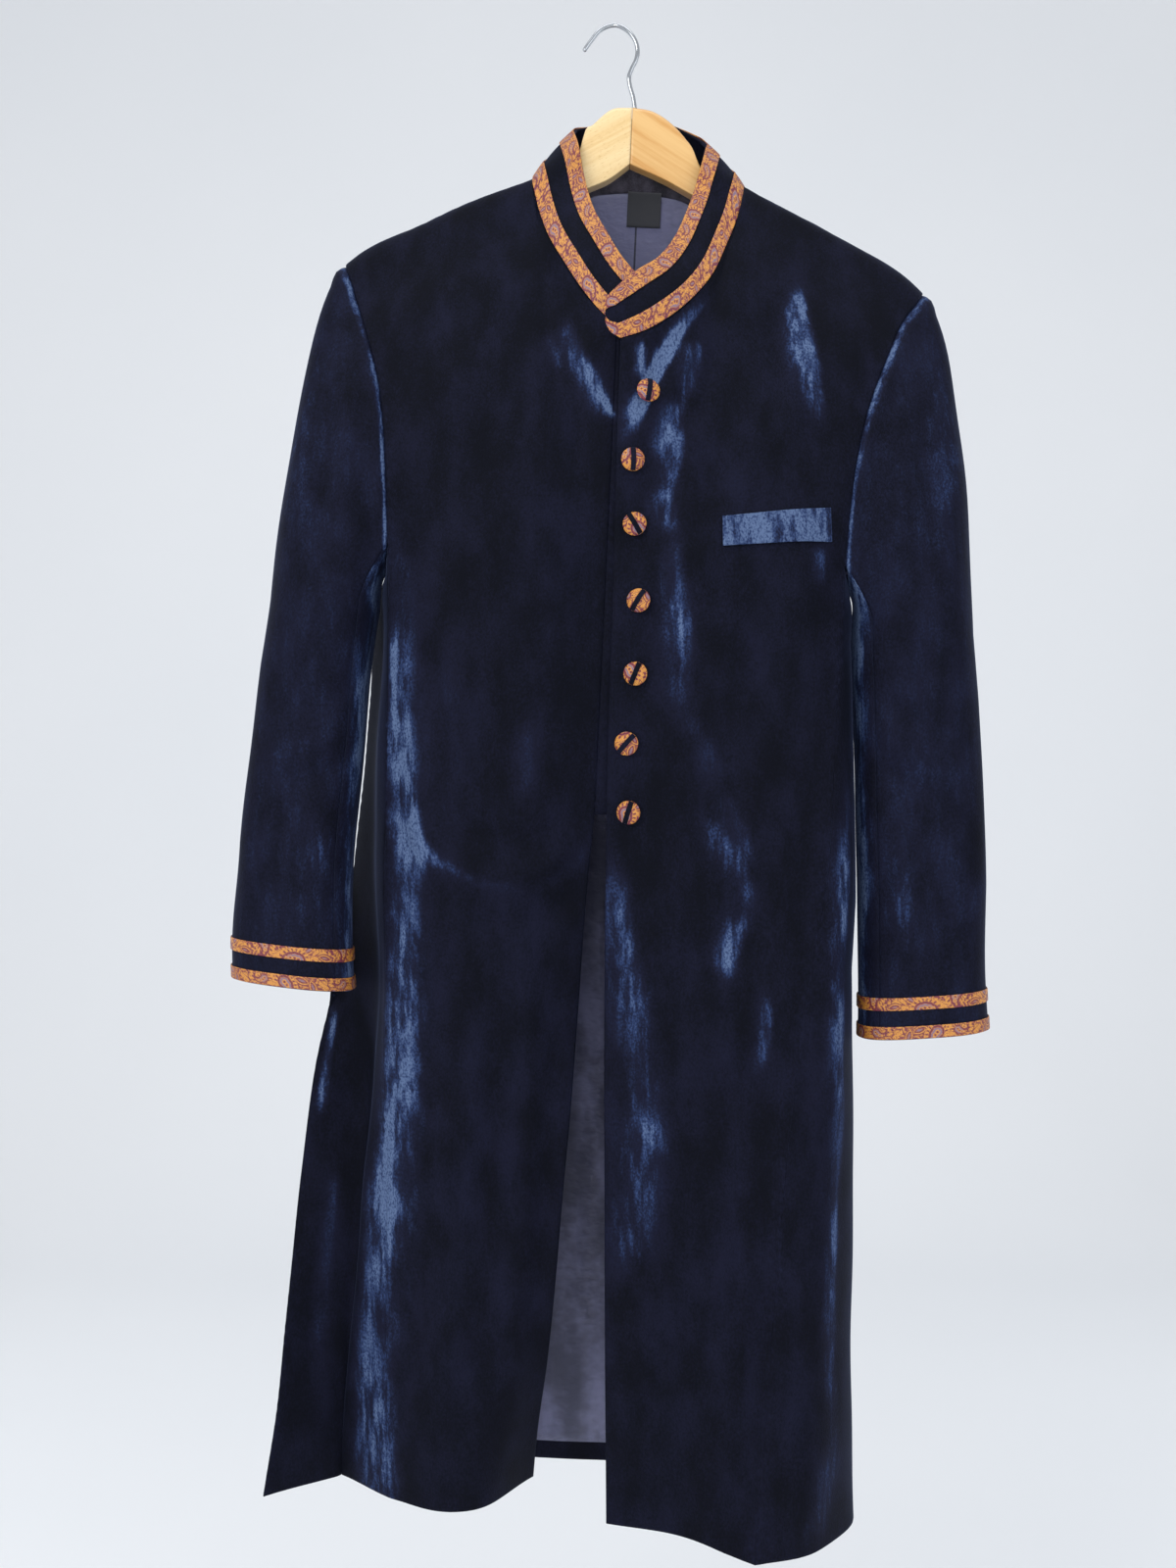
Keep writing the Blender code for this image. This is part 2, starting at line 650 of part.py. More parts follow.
def sleeve_sheet(half, pieces):
    """One sleeve as a tube of columns from the shoulder tip round the armhole."""
    name, side = half["name"], half["side"]
    front, flank, back = pieces["front_" + name], pieces["side_" + name], pieces["back"]
    edge = back_edge(half)
    down = front["grid"][-1, :UNDERARM_ROW + 1]
    under = flank["grid"][1:, 0]
    up = back["grid"][edge, :UNDERARM_ROW][::-1]
    loop = np.concatenate([down, under, up])
    stops = [np.linspace(0, FRONT_SEAM_ANGLE, UNDERARM_ROW + 1),
             np.linspace(FRONT_SEAM_ANGLE, BACK_SEAM_ANGLE, SIDE_STEPS + 1)[1:],
             np.linspace(BACK_SEAM_ANGLE, 360, UNDERARM_ROW + 1)[1:]]
    angles = np.radians(np.concatenate(stops))
    first, cuff = half["sleeve"]["z"][0], half["sleeve"]["z"][-1]
    levels = np.concatenate([np.linspace(first, cuff + 36, 5), [cuff + 24, cuff + 11, cuff]])
    sleeve = new_sheet(sleeve_grid(half, loop, angles, CAP_ROWS, levels), -side)
    # the last column lies on the first one
    shared = unit(sleeve["normals"][0] + sleeve["normals"][-1])
    for column in (0, -1):
        sleeve["normals"][column] = shared
        sleeve["offsets"][column] = shared
    sleeve["levels"] = levels
    return sleeve


def back_edge(half):
    return -1 if half["side"] > 0 else 0


def collar_sheet(half, pieces):
    """Half of the standing collar, from its front end to the centre back."""
    name, side = half["name"], half["side"]
    end = COLLAR_TAB if side > 0 else COLLAR_UNDER
    middle = (pieces["back"]["grid"].shape[0] - 1) // 2
    share = np.linspace(0, 1, NECK_STEPS + 1)
    back_share = np.linspace(1, 0, BACK_NECK_STEPS + 1)[1:]
    back_columns = middle + side * np.arange(BACK_NECK_STEPS - 1, -1, -1)
    back_free = free_edge(NECK_BACK, back_share, "" if side > 0 else "right")
    base = np.concatenate([seam_points(end)[::-1], pieces["front_" + name]["grid"][:NECK_STEPS + 1, 0],
                           pieces["back"]["grid"][back_columns, 0]])
    free = np.concatenate([seam_points(end, free=True)[::-1], free_edge(half["neck"], share),
                           back_free * (side, 1, 1)])
    rows = COLLAR_ROWS[None, :, None]
    grid = base[:, None] * rows + free[:, None] * (1 - rows)
    # the band bows outwards a little between its edges
    bow = COLLAR_BOW * np.sin(math.pi * COLLAR_ROWS)
    flat = new_sheet(grid, side)
    return new_sheet(grid + flat["normals"] * bow[None, :, None], side)


def free_edge(data, share, alike=""):
    """Free collar edge over the neck seam's points at shares of its length."""
    base = seam_points(data)[::-1]
    steps = np.linalg.norm(np.diff(base, axis=0), axis=1)
    lengths = np.concatenate([[0.0], np.cumsum(steps)])
    free = seam_points(data, free=True)[::-1].copy()
    if alike:
        free[:, 0] = data[alike + "_x"][::-1]
        free[:, 2] = data[alike + "_z"][::-1]
    return spline(lengths / lengths[-1], free, share)


def join_seams(pieces):
    """Mitre every seam, its corners last."""
    back = pieces["back"]
    middle = (back["grid"].shape[0] - 1) // 2
    shoulder = np.arange(SHOULDER_STEPS + 1)
    armhole = np.arange(UNDERARM_ROW + 1)
    for half in (LEFT, RIGHT):
        name, side, edge = half["name"], half["side"], back_edge(half)
        front, flank = pieces["front_" + name], pieces["side_" + name]
        sleeve, collar = pieces["sleeve_" + name], pieces["collar_" + name]
        last = sleeve["grid"].shape[0] - 1
        end = COLLAR_ENDS
        neck = np.arange(NECK_STEPS + 1)
        back_neck = middle + side * np.arange(BACK_NECK_STEPS - 1, -1, -1)
        neck_corner = middle + side * BACK_NECK_STEPS
        join((front, (-1, slice(UNDERARM_ROW + 1, None))), (flank, (0, slice(1, None))))
        join((flank, (-1, slice(1, SLIT_ROW + 1))),
             (back, (edge, slice(UNDERARM_ROW + 1, UNDERARM_ROW + SLIT_ROW + 1))))
        join((front, (NECK_STEPS + shoulder, 0)), (back, (middle + side * (BACK_NECK_STEPS + shoulder), 0)))
        join((front, (-1, armhole)), (sleeve, (armhole, 0)))
        join((back, (edge, armhole)), (sleeve, (last - armhole, 0)))
        join((front, (neck, 0)), (collar, (end + neck, -1)))
        join((back, (back_neck, 0)), (collar, (end + NECK_STEPS + 1 + np.arange(BACK_NECK_STEPS), -1)))
        # corners where three pieces meet
        join((front, (NECK_STEPS, 0)), (back, (neck_corner, 0)), (collar, (end + NECK_STEPS, -1)))
        join((front, (-1, 0)), (back, (edge, 0)), (sleeve, (0, 0)))
        sleeve["offsets"][-1, 0] = sleeve["offsets"][0, 0]
        join((front, (-1, UNDERARM_ROW)), (flank, (0, 0)))
        join((back, (edge, UNDERARM_ROW)), (flank, (-1, 0)))
    join((pieces["collar_left"], (-1, slice(None))), (pieces["collar_right"], (-1, slice(None))))
    join((pieces["front_right"], (0, slice(0, UNDERARM_ROW + STAND_ROW + 1))),
         (pieces["stand"], (-1, slice(None))))


def build_coat(frame):
    pieces = body_sheets()
    for half in (LEFT, RIGHT):
        pieces["sleeve_" + half["name"]] = sleeve_sheet(half, pieces)
        pieces["collar_" + half["name"]] = collar_sheet(half, pieces)
    pieces["stand"] = stand_sheet(pieces)
    join_seams(pieces)
    for name in ("side_left", "side_right"):
        flank = pieces[name]["grid"]
        flank[-1] += unit(flank[-2] - flank[-1]) * SLIT_SETBACK
    for name in ("front_left", "front_right", "side_left", "side_right", "back"):
        add_sheet(name, pieces[name], VELVET, "velvet", frame)
    add_sheet("button_stand", pieces["stand"], VELVET, "velvet", frame)
    for half in (LEFT, RIGHT):
        build_sleeve(half, pieces["sleeve_" + half["name"]], frame)
        build_collar(half, pieces["collar_" + half["name"]], frame)
    build_inside(pieces["back"], frame)
    build_welt(pieces["front_left"]["grid"], frame)
    build_buttons(pieces["front_left"]["grid"], frame)


def build_sleeve(half, sleeve, frame):
    """Top sleeve, under sleeve and the two brocade bands of the cuff."""
    name = half["name"]
    last = sleeve["grid"].shape[0] - 1
    fore, rear = UNDERARM_ROW, UNDERARM_ROW + SIDE_STEPS + 2
    top = np.concatenate([np.arange(rear, last), np.arange(0, fore + 1)])
    add_sheet(f"top_sleeve_{name}", part_of(sleeve, top), SLEEVE_CLOTH, "velvet", frame)
    add_sheet(f"under_sleeve_{name}", part_of(sleeve, np.arange(fore, rear + 1)), SLEEVE_CLOTH,
              "velvet", frame)
    cuff = half["sleeve"]["z"][-1] + 0.6
    for label, lift in (("lower", 0.0), ("upper", CUFF_BAND + CUFF_BETWEEN)):
        heights = cuff + lift + np.array([CUFF_BAND, 0.0])
        band = {key: level_cut(sleeve, key, heights) for key in ("grid", "offsets")}
        band["turn"] = sleeve["turn"]
        add_sheet(f"cuff_band_{label}_{name}", band, TRIM, "brocade", frame, out=LAYER_GAP + TRIM,
                  closed=True)


def level_cut(sleeve, key, heights):
    """Points or wall directions of a sleeve's columns at heights of its levels."""
    levels = sleeve["levels"]
    values = sleeve["normals" if key == "offsets" else key][:-1, -len(levels):]
    return spline(-levels, values.swapaxes(0, 1), -heights).swapaxes(0, 1)


def build_collar(half, collar, frame):
    """Velvet collar half with a brocade strip along each of its edges."""
    name = half["name"]
    from_corner = np.abs(np.arange(len(collar["grid"])) - COLLAR_ENDS - NECK_STEPS - 0.5)
    setback = COLLAR_SETBACK + CORNER_SETBACK * np.clip(1.5 - from_corner / 2, 0, 1)
    collar["grid"][:, -1] += unit(collar["grid"][:, -2] - collar["grid"][:, -1]) * setback[:, None]
    add_sheet(f"collar_{name}", collar, VELVET, "velvet", frame)
    lower = part_of(collar, rows=slice(2, 4))
    lower["grid"] = lower["grid"].copy()
    lower["grid"][:, 1] += (lower["grid"][:, 0] - lower["grid"][:, 1]) * BAND_SETBACK
    add_sheet(f"collar_band_lower_{name}", lower, TRIM, "brocade", frame, out=LAYER_GAP + TRIM)
    add_sheet(f"collar_band_upper_{name}", part_of(collar, rows=slice(0, 2)), TRIM, "brocade", frame,
              out=LAYER_GAP + TRIM)


def stand_sheet(pieces):
    """Strip on the right front's edge, under the left front, for the buttons."""
    rows = UNDERARM_ROW + STAND_ROW + 1
    edge = pieces["front_right"]["grid"][0, :rows]
    drop = STAND_DROP * np.clip((edge[:, 2] - STAND_TOP_Z) / STAND_DROP / 2.5 + 1, 0, 1)
    far_z = edge[:, 2] - drop
    far_x = np.full(rows, STAND_EDGE_X)
    depth = depth_under(pieces["front_left"]["grid"], far_x, far_z) + STAND_BEHIND
    far = np.stack([far_x, depth, far_z], axis=1)
    share = np.linspace(1, 0, 4)[:, None, None]
    return new_sheet(far[None] * share + edge[None] * (1 - share), -1)


def depth_under(grid, x, z):
    """Depth of a front grid at places given by x and z."""
    out = []
    for px, pz in zip(x, z):
        row_x = np.array([np.interp(-pz, -column[:, 2], column[:, 0]) for column in grid])
        row_y = np.array([np.interp(-pz, -column[:, 2], column[:, 1]) for column in grid])
        order = np.argsort(row_x)
        out.append(np.interp(px, row_x[order], row_y[order]))
    return np.array(out)


def build_inside(back, frame):
    """What shows inside: neck facing, back lining and the bare label."""
    middle = (back["grid"].shape[0] - 1) // 2
    near = slice(middle - BACK_NECK_STEPS + 1, middle + BACK_NECK_STEPS)
    under = -(VELVET + LAYER_GAP)
    add_sheet("neck_facing", part_of(back, near, slice(0, FACING_ROW + 1)), LINING, "velvet", frame,
              out=under, gap=INNER_SETBACK)
    lining = part_of(back, slice(1, -1), slice(FACING_ROW, None))
    lining["grid"] = lining["grid"].copy()
    lining["grid"][:, -1, 2] = LINING_HEM_Z
    add_sheet("back_lining", lining, LINING, "lining", frame, out=under, gap=INNER_SETBACK)
    inside = back["grid"] + back["offsets"] * (under - LINING - LAYER_GAP)
    corners = np.stack([LABEL["x"], LABEL["z"]], axis=1)
    label = corner_sheet(inside[middle - 3:middle + 4], corners, 2, -1)
    add_sheet("label", label, LABEL_THICK, "label", frame, gap=0.0)


def build_welt(front, frame):
    """Welt of the breast pocket, on the left front's surface."""
    corners = np.stack([WELT["x"], WELT["z"]], axis=1)
    welt = corner_sheet(front, corners, WELT_STEPS, 1)
    add_sheet("breast_welt", welt, WELT_THICK, "velvet", frame, out=WELT_THICK + WELT_LIFT, gap=0.0)


def corner_sheet(grid, corners, steps, turn):
    """Sheet between four corners given by x and z, laid at a grid's depth."""
    top_left, top_right, low_right, low_left = corners
    s = np.linspace(0, 1, steps + 1)[:, None]
    rows = []
    for start, end in ((top_left, top_right), (low_left, low_right)):
        line = start + s * (end - start)
        depth = depth_under(grid, line[:, 0], line[:, 1])
        rows.append(np.stack([line[:, 0], depth, line[:, 1]], axis=1))
    return new_sheet(np.stack(rows, axis=1), turn)


def build_buttons(front, frame):
    """Covered buttons on short shanks, each with a velvet strip across its dome."""
    reach = BUTTON_RADIUS
    strip_points, strip_faces = strip_mesh()
    for number, (x, z, turn) in enumerate(zip(BUTTONS["x"], BUTTONS["z"], BUTTONS["strip"]), 1):
        beside = depth_under(front, (x - reach, x, x + reach), (z, z, z))
        above = depth_under(front, (x, x), (z + reach, z - reach))
        normal = unit(np.array([(beside[2] - beside[0]) / (2 * reach), -1.0,
                                (above[0] - above[1]) / (2 * reach)]))
        centre = np.array([x, beside.min(), z]) + normal * BUTTON_LIFT
        across = np.array([math.cos(math.radians(turn)), 0, math.sin(math.radians(turn))])
        across = unit(across - normal * np.dot(across, normal))
        axes = np.stack([across, np.cross(normal, across), normal])
        to_cloth = (beside[1] - centre[1]) / -normal[1]
        dome_points, dome_faces = button_mesh(to_cloth - LAYER_GAP)
        add_object(f"button_{number}", centre + dome_points @ axes, dome_faces, "brocade", frame)
        add_object(f"button_strip_{number}", centre + strip_points @ axes, strip_faces, "velvet", frame)


def dome_height(r):
    """Height of the button's dome over its back at the radius r."""
    return BUTTON_RISE * np.sqrt(np.maximum(1 - (r / (BUTTON_RADIUS + 0.6)) ** 2, 0))


def button_mesh(shank, sides=14):
    """Turned button: dome, upright rim, flat back and a shank of a given length."""
    radii = np.array([0.4, 0.75, 1.0]) * BUTTON_RADIUS
    profile = [(r, dome_height(r)) for r in radii]
    profile += [(BUTTON_RADIUS, 0.0), (SHANK_RADIUS, 0.0), (SHANK_RADIUS, -shank)]
    angles = np.arange(sides) / sides * 2 * math.pi
    points = [(0.0, 0.0, BUTTON_RISE)]
    for r, h in profile:
        points += [(r * math.cos(a), r * math.sin(a), h) for a in angles]
    points.append((0.0, 0.0, -shank))
    faces = [(0, 1 + i, 1 + (i + 1) % sides) for i in range(sides)]
    for ring in range(len(profile) - 1):
        low, high = 1 + ring * sides, 1 + (ring + 1) * sides
        for i in range(sides):
            j = (i + 1) % sides
            faces += [(low + i, high + i, high + j), (low + i, high + j, low + j)]
    last = 1 + (len(profile) - 1) * sides
    centre = len(points) - 1
    faces += [(centre, last + (i + 1) % sides, last + i) for i in range(sides)]
    return np.array(points), np.array(faces)


def strip_mesh():
    """Velvet strip over the dome along its local x, raised off it."""
    places = np.linspace(-1, 1, 9) * (BUTTON_RADIUS - 0.4)
    grid = np.empty((9, 2, 3))
    grid[..., 0] = places[:, None]
    grid[..., 1] = (BUTTON_STRIP / 2, -BUTTON_STRIP / 2)
    grid[..., 2] = (dome_height(np.abs(places)) + STRIP_LIFT)[:, None]
    return wall_mesh(grid + (0, 0, STRIP_THICK), grid, 1)


# ---------------------------------------------------------------- the hanger

def arm_edges(half):
    """Top and lower edge of one arm, from the joint to the shoulder's tip."""
    name, side = half["name"], half["side"]
    inner_x = np.abs(HANGER_TOP[name + "_x"] - HANGER_JOINT[0])
    share = np.linspace(0, 1, 10)
    neck_out = np.linspace(inner_x[0] + 0.15, inner_x[-1], 10)
    near_z = spline(inner_x, HANGER_TOP[name + "_z"], neck_out)
    near_x = neck_out + side * HANGER_JOINT[0]
    neck_point = seam_points(half["neck"])[0] * (side, 1, 1)
    tip = np.array([abs(half["armhole"]["x"][0]), 0.0, half["armhole"]["z"][0]])
    reach = HANGER_ARM_FROM + share * (HANGER_TIP_X - HANGER_ARM_FROM)
    under = shoulder_line(neck_point, tip, (reach - neck_point[0]) / (tip[0] - neck_point[0]))
    far_x, far_z = under[:, 0], under[:, 2] - HANGER_UNDER
    top = np.stack([np.concatenate([near_x, far_x]), np.concatenate([near_z, far_z])], axis=1)
    low_z = spline(np.concatenate([[side * HANGER_JOINT[0]], HANGER_LOW["x"]]),
                   np.concatenate([[HANGER_JOINT[1]], HANGER_LOW["z"]]), top[:, 0])
    return top, np.stack([top[:, 0], low_z], axis=1)


def build_hanger(frame):
    """Two joined pine arms and the wire hook."""
    half = HANGER_THICK / 2
    round_top = ((-half, 4.0), (-half + 1.2, 1.2), (-half + 4.0, 0.0),
                 (half - 4.0, 0.0), (half - 1.2, 1.2), (half, 4.0))
    round_low = ((half, 2.5), (half - 2.5, 0.0), (-half + 2.5, 0.0), (-half, 2.5))
    for half in (LEFT, RIGHT):
        side = half["side"]
        top, low = arm_edges(half)
        ring = [np.stack([top[:, 0] * side, np.full(len(top), y), top[:, 1] - inset], axis=1)
                for y, inset in round_top]
        ring += [np.stack([low[:, 0] * side, np.full(len(low), y), low[:, 1] + inset], axis=1)
                 for y, inset in round_low]
        points, faces = tube(np.stack(ring, axis=1), side < 0)
        add_object("hanger_" + half["name"], points, faces, "wood", frame)

    route = np.stack([HOOK_ROUTE["x"], np.zeros_like(HOOK_ROUTE["x"]), HOOK_ROUTE["z"]], axis=1)
    line = along(route, np.linspace(0, 1, HOOK_RINGS))
    tangent = unit(np.gradient(line, axis=0))
    sideways = np.array([0.0, 1.0, 0.0])
    upward = np.cross(tangent, sideways)
    angles = (np.arange(HOOK_SIDES) / HOOK_SIDES * 2 * math.pi)[None, :, None]
    grid = line[:, None] + HOOK_WIRE / 2 * (np.cos(angles) * upward[:, None] + np.sin(angles) * sideways)
    points, faces = tube(grid, False)
    add_object("hook", points, faces, "steel", frame)


def tube(grid, flip):
    """Closed tube through rings of points, with flat ends."""
    n, m = grid.shape[:2]
    points = grid.reshape(-1, 3)
    index = np.arange(n * m).reshape(n, m)
    nxt = np.roll(index, -1, axis=1)
    a, b, c, d = index[:-1].ravel(), index[1:].ravel(), nxt[1:].ravel(), nxt[:-1].ravel()
    faces = np.concatenate([np.stack([a, b, c], 1), np.stack([a, c, d], 1)]).tolist()
    faces.append(index[0].tolist())
    faces.append(index[-1][::-1].tolist())
    if flip:
        faces = [face[::-1] for face in faces]
    return points, faces


def main():
    clear_scene()
    frame = bpy.data.objects.new("hang_frame", None)
    bpy.context.collection.objects.link(frame)
    turn = Matrix.Rotation(math.radians(LEAN), 4, "Y")
    frame.matrix_world = turn @ Matrix.Translation((AXIS_FROM_HOOK * MM, 0, 0))
    build_coat(frame)
    build_hanger(frame)


main()
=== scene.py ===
"""Looks of a navy velvet sherwani coat on its pine hanger.

Every piece of cloth is a surface of two parameters, read from smooth curves
through short tables in the coat's own frame: millimetres, x to the wearer's
left, y to the back, z up, with x = 0 on the middle of the coat and z = 0 at
the hook's crown.  placed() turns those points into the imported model's frame.
"""

import math
from functools import partial

import bpy
import numpy as np
from bpy.props import FloatProperty, FloatVectorProperty, PointerProperty
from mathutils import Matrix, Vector


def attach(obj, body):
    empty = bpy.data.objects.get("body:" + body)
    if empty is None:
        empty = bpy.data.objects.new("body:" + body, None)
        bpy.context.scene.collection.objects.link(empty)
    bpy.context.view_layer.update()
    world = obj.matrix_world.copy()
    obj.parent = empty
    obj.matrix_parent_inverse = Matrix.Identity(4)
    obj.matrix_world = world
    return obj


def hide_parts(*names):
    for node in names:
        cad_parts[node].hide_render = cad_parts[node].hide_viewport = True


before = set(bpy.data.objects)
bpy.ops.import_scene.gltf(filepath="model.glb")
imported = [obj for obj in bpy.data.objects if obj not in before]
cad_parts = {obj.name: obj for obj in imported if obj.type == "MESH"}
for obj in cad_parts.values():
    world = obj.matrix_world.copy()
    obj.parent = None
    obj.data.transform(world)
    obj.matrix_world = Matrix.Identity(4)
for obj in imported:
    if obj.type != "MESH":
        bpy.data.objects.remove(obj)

bl_info = {
    "name": "Velvet Sherwani on a Hanger",
    "version": (1, 0, 0),
    "blender": (4, 5, 0),
    "location": "View3D > Sidebar > Sherwani",
    "description": "Builds a velvet sherwani coat with brocade bands on its pine hanger",
    "category": "Object",
}

BODY = "root"
MM = 0.001
LEAN = 2.73            # degrees that the hanger leans to the wearer's left
AXIS_FROM_HOOK = 25.0  # from the hook's crown to the middle of the coat
VELVET = 2.6           # velvet with its interlining, and lining where it has one
SLEEVE_CLOTH = 2.2
LINING = 1.0
TRIM = 0.9             # brocade strip
LAYER_GAP = 0.35
ARMHOLE_Z = -440.0     # where the front and back seams leave the armhole
SLIT_TOP_Z = -800.0
HEM_Z = -1187.0        # the fronts and side panels
BACK_HEM_Z = -1181.0
LINING_HEM_Z = -1166.0
SHOULDER_ROUND = 12.0  # radius of the cloth over the hanger's arm
STAND_END_Z = -641.0   # lower end of the button stand
STAND_EDGE_X = 20.0
BUTTON_RADIUS = 9.0
BUTTON_RISE = 5.0
BUTTON_STRIP = 3.8
BUTTON_RIM = 0.9       # radius of the turned-under rim
HANGER_THICK = 12.0
HOOK_WIRE = 3.6
CUFF_BAND = 9.8
CUFF_BETWEEN = 12.4
CUFF_FACING = 42.0     # velvet turned inside at the cuff
COLLAR_BOW = 2.0
STAND_TOP_Z = -275.0   # the stand's free edge starts lower than its seam by the drop
STAND_DROP = 24.0
STAND_BEHIND = 5.0     # behind the left front's outer face
BUTTON_LIFT = 1.2
SHANK_RADIUS = 3.0
STRIP_LIFT = 0.3
STRIP_THICK = 0.8
STRIP_SHEEN = 0.05       # the buttons' strips get hardly any painted sheen
WELT_THICK = 1.6
WELT_LIFT = 0.9
LABEL_THICK = 1.0
INNER_SETBACK = 0.3    # of the lining's and the neck facing's edges
LINING_ROWS = 130
LINING_DRAWN_IN = 0.09  # share of its width below the waist
FACING_ROWS = 14
MITRE_LIMIT = 0.3      # least cosine between a wall and its mitre


def table(columns, *rows):
    """A short table as a dictionary of named columns."""
    values = np.array(rows, float).T
    return dict(zip(columns.split(), values))


def rows_of(data, columns):
    """Rows of a table's named columns, as plain numbers."""
    return zip(*(data[name].tolist() for name in columns.split()))


def spline(knots, values, at):
    """Smooth curve through values at increasing knots, read at the places at."""
    knots = np.asarray(knots, float)
    values = np.asarray(values, float)
    at = np.clip(np.asarray(at, float), knots[0], knots[-1])
    span = np.diff(knots).reshape((-1,) + (1,) * (values.ndim - 1))
    slope = np.diff(values, axis=0) / span
    tangent = np.empty_like(values)
    tangent[0] = slope[0]
    tangent[-1] = slope[-1]
    tangent[1:-1] = (slope[:-1] * span[1:] + slope[1:] * span[:-1]) / (span[1:] + span[:-1])
    k = np.clip(np.searchsorted(knots, at, side="right") - 1, 0, len(knots) - 2)
    shape = (-1,) + (1,) * (values.ndim - 1)
    width = (knots[k + 1] - knots[k]).reshape(shape)
    t = ((at - knots[k]) / (knots[k + 1] - knots[k])).reshape(shape)
    start = (1 + 2 * t) * (1 - t) ** 2 * values[k] + t * (1 - t) ** 2 * width * tangent[k]
    end = t * t * (3 - 2 * t) * values[k + 1] - t * t * (1 - t) * width * tangent[k + 1]
    return start + end


def column_at(data, name, z):
    """One column of a table by height; the table runs downwards."""
    return spline(-data["z"], data[name], -np.asarray(z, float))


def along(points, fractions):
    """Points of a polyline's smooth curve at fractions of its length."""
    points = np.asarray(points, float)
    steps = np.linalg.norm(np.diff(points, axis=0), axis=1)
    lengths = np.concatenate([[0.0], np.cumsum(steps)])
    return spline(lengths / lengths[-1], points, fractions)


def rising(low, high, values):
    """Smooth step from 0 at low to 1 at high."""
    t = np.clip((values - low) / (high - low), 0, 1)
    return t * t * (3 - 2 * t)


def unit(vectors):
    length = np.linalg.norm(vectors, axis=-1, keepdims=True)
    return vectors / np.maximum(length, 1e-9)


# ---- tables

# Neck seam from the shoulder down to the front end, with the collar's free
# edge over each of its points.
NECK_LEFT = table(
    "x y z free_x free_y free_z",
    (86, 0, -126, 54, 5, -90),
    (85, -9, -134, 51, -10, -107),
    (81, -17, -155, 46, -15, -131),
    (72, -31, -184, 39, -26, -157),
    (61, -45, -213, 30, -40, -183),
    (45, -60, -238, 17, -56, -206),
    (25, -72, -259, 1, -68, -221),
    (7, -80, -272, -10, -76, -233),
    (-9, -84, -279, -18, -81, -243),
)
NECK_RIGHT = table(
    "x y z free_x free_y free_z",
    (-86, 0, -126, -55, 5, -84),
    (-86, -9, -133, -51, -10, -99),
    (-82, -17, -151, -46, -14, -122),
    (-72, -31, -181, -37, -26, -155),
    (-56, -48, -211, -25, -41, -181),
    (-39, -58, -237, -11, -50, -205),
    (-24, -65, -255, 1, -56, -220),
    (-12, -69, -265, 9, -60, -229),
)
# the same from the shoulder to the centre back; the free edge of the
# wearer's left and right halves differs only next to the shoulder
NECK_BACK = table(
    "x y z free_x free_y free_z right_x right_z",
    (86, 0, -126, 54, 5, -90, 55, -84),
    (81, 13, -117, 50, 18, -80, 53, -76),
    (64, 25, -108, 39, 26, -71, 40, -70),
    (33, 34, -101, 20, 31, -62, 20, -62),
    (0, 37, -99, 0, 33, -58, 0, -58),
)
# rise of the shoulder line over a straight one, by its share from the neck
SHOULDER_ARCH = table(
    "share rise",
    (0, 0), (0.2, 2), (0.4, 4), (0.6, 5.5), (0.8, 5.5), (0.92, 3.5), (1, 0),
)
# rounded end of the left collar, past the front's edge
COLLAR_TAB = table(
    "x y z free_x free_y free_z",
    (-17, -85, -275, -22, -83, -249),
    (-21, -85, -267, -23, -84, -256),
)
# end of the right collar, hidden under the left one
COLLAR_UNDER = table(
    "x y z free_x free_y free_z",
    (2, -71, -273, 17, -63, -238),
    (12, -73, -280, 24, -65, -246),
)
# Armhole from the shoulder tip down: front edge, then back edge.
ARMHOLE_LEFT = table(
    "z front_x front_y back_x back_y",
    (-206, 236, 0, 236, 0),
    (-217, 229, -7, 230, 4),
    (-231, 219, -15, 223, 8),
    (-277, 199, -37, 208, 13),
    (-320, 185, -50, 199, 16),
    (-355, 178, -58, 193, 16),
    (-397, 174, -63, 188, 14),
    (-440, 173, -64, 186, 12),
)
ARMHOLE_RIGHT = table(
    "z front_x front_y back_x back_y",
    (-206, -235, 0, -235, 0),
    (-217, -230, -7, -231, 4),
    (-240, -221, -17, -222, 9),
    (-272, -209, -34, -211, 13),
    (-305, -198, -46, -203, 16),
    (-333, -192, -54, -197, 16),
    (-380, -186, -61, -191, 14),
    (-440, -182, -62, -189, 12),
)
UNDERARM_DIP = 17.0
BACK_MIDDLE_Y = 29     # the back's middle between the shoulder blades
SLEEVE_SQUARE = 0.82   # below 1 a sleeve's section is squarer than an ellipse
# how far out and down the sleeve's cap sets off from the armhole: all round,
# more where it faces outwards and more where it faces forwards or backwards
CAP_OUT = (14, 56, 16)
CAP_DOWN = (16, 60, 40)

# Level sections of each half below the armhole: the front's edge, middle and
# fold, the seam to the side panel, the side panel's two folds and its back
# edge.
SECTION_LEFT = table(
    "z edge_x edge_y mid_x mid_y fold_x fold_y seam_x seam_y one_x one_y two_x two_y back_x back_y",
    (-440, -7, -85, 80, -93, 138, -84, 173, -64, 179, -42, 184, -14, 186, 12),
    (-480, -6, -85, 80, -94, 138, -87, 171, -69, 177, -46, 180, -17, 194, 16),
    (-560, -5, -84, 82, -94, 138, -91, 169, -77, 179, -55, 184, -22, 199, 17),
    (-670, -2, -80, 84, -92, 136, -93, 167, -85, 184, -66, 193, -32, 203, 17),
    (-800, 3, -74, 86, -88, 128, -93, 152, -93, 181, -80, 199, -40, 203, 14),
    (-940, 10, -70, 85, -84, 120, -93, 142, -100, 180, -86, 205, -44, 203, 9),
    (-1080, 17, -68, 84, -82, 114, -98, 136, -111, 182, -92, 210, -48, 207, 4),
    (-1187, 23, -67, 84, -82, 112, -104, 132, -118, 183, -94, 218, -46, 211, -4),
)
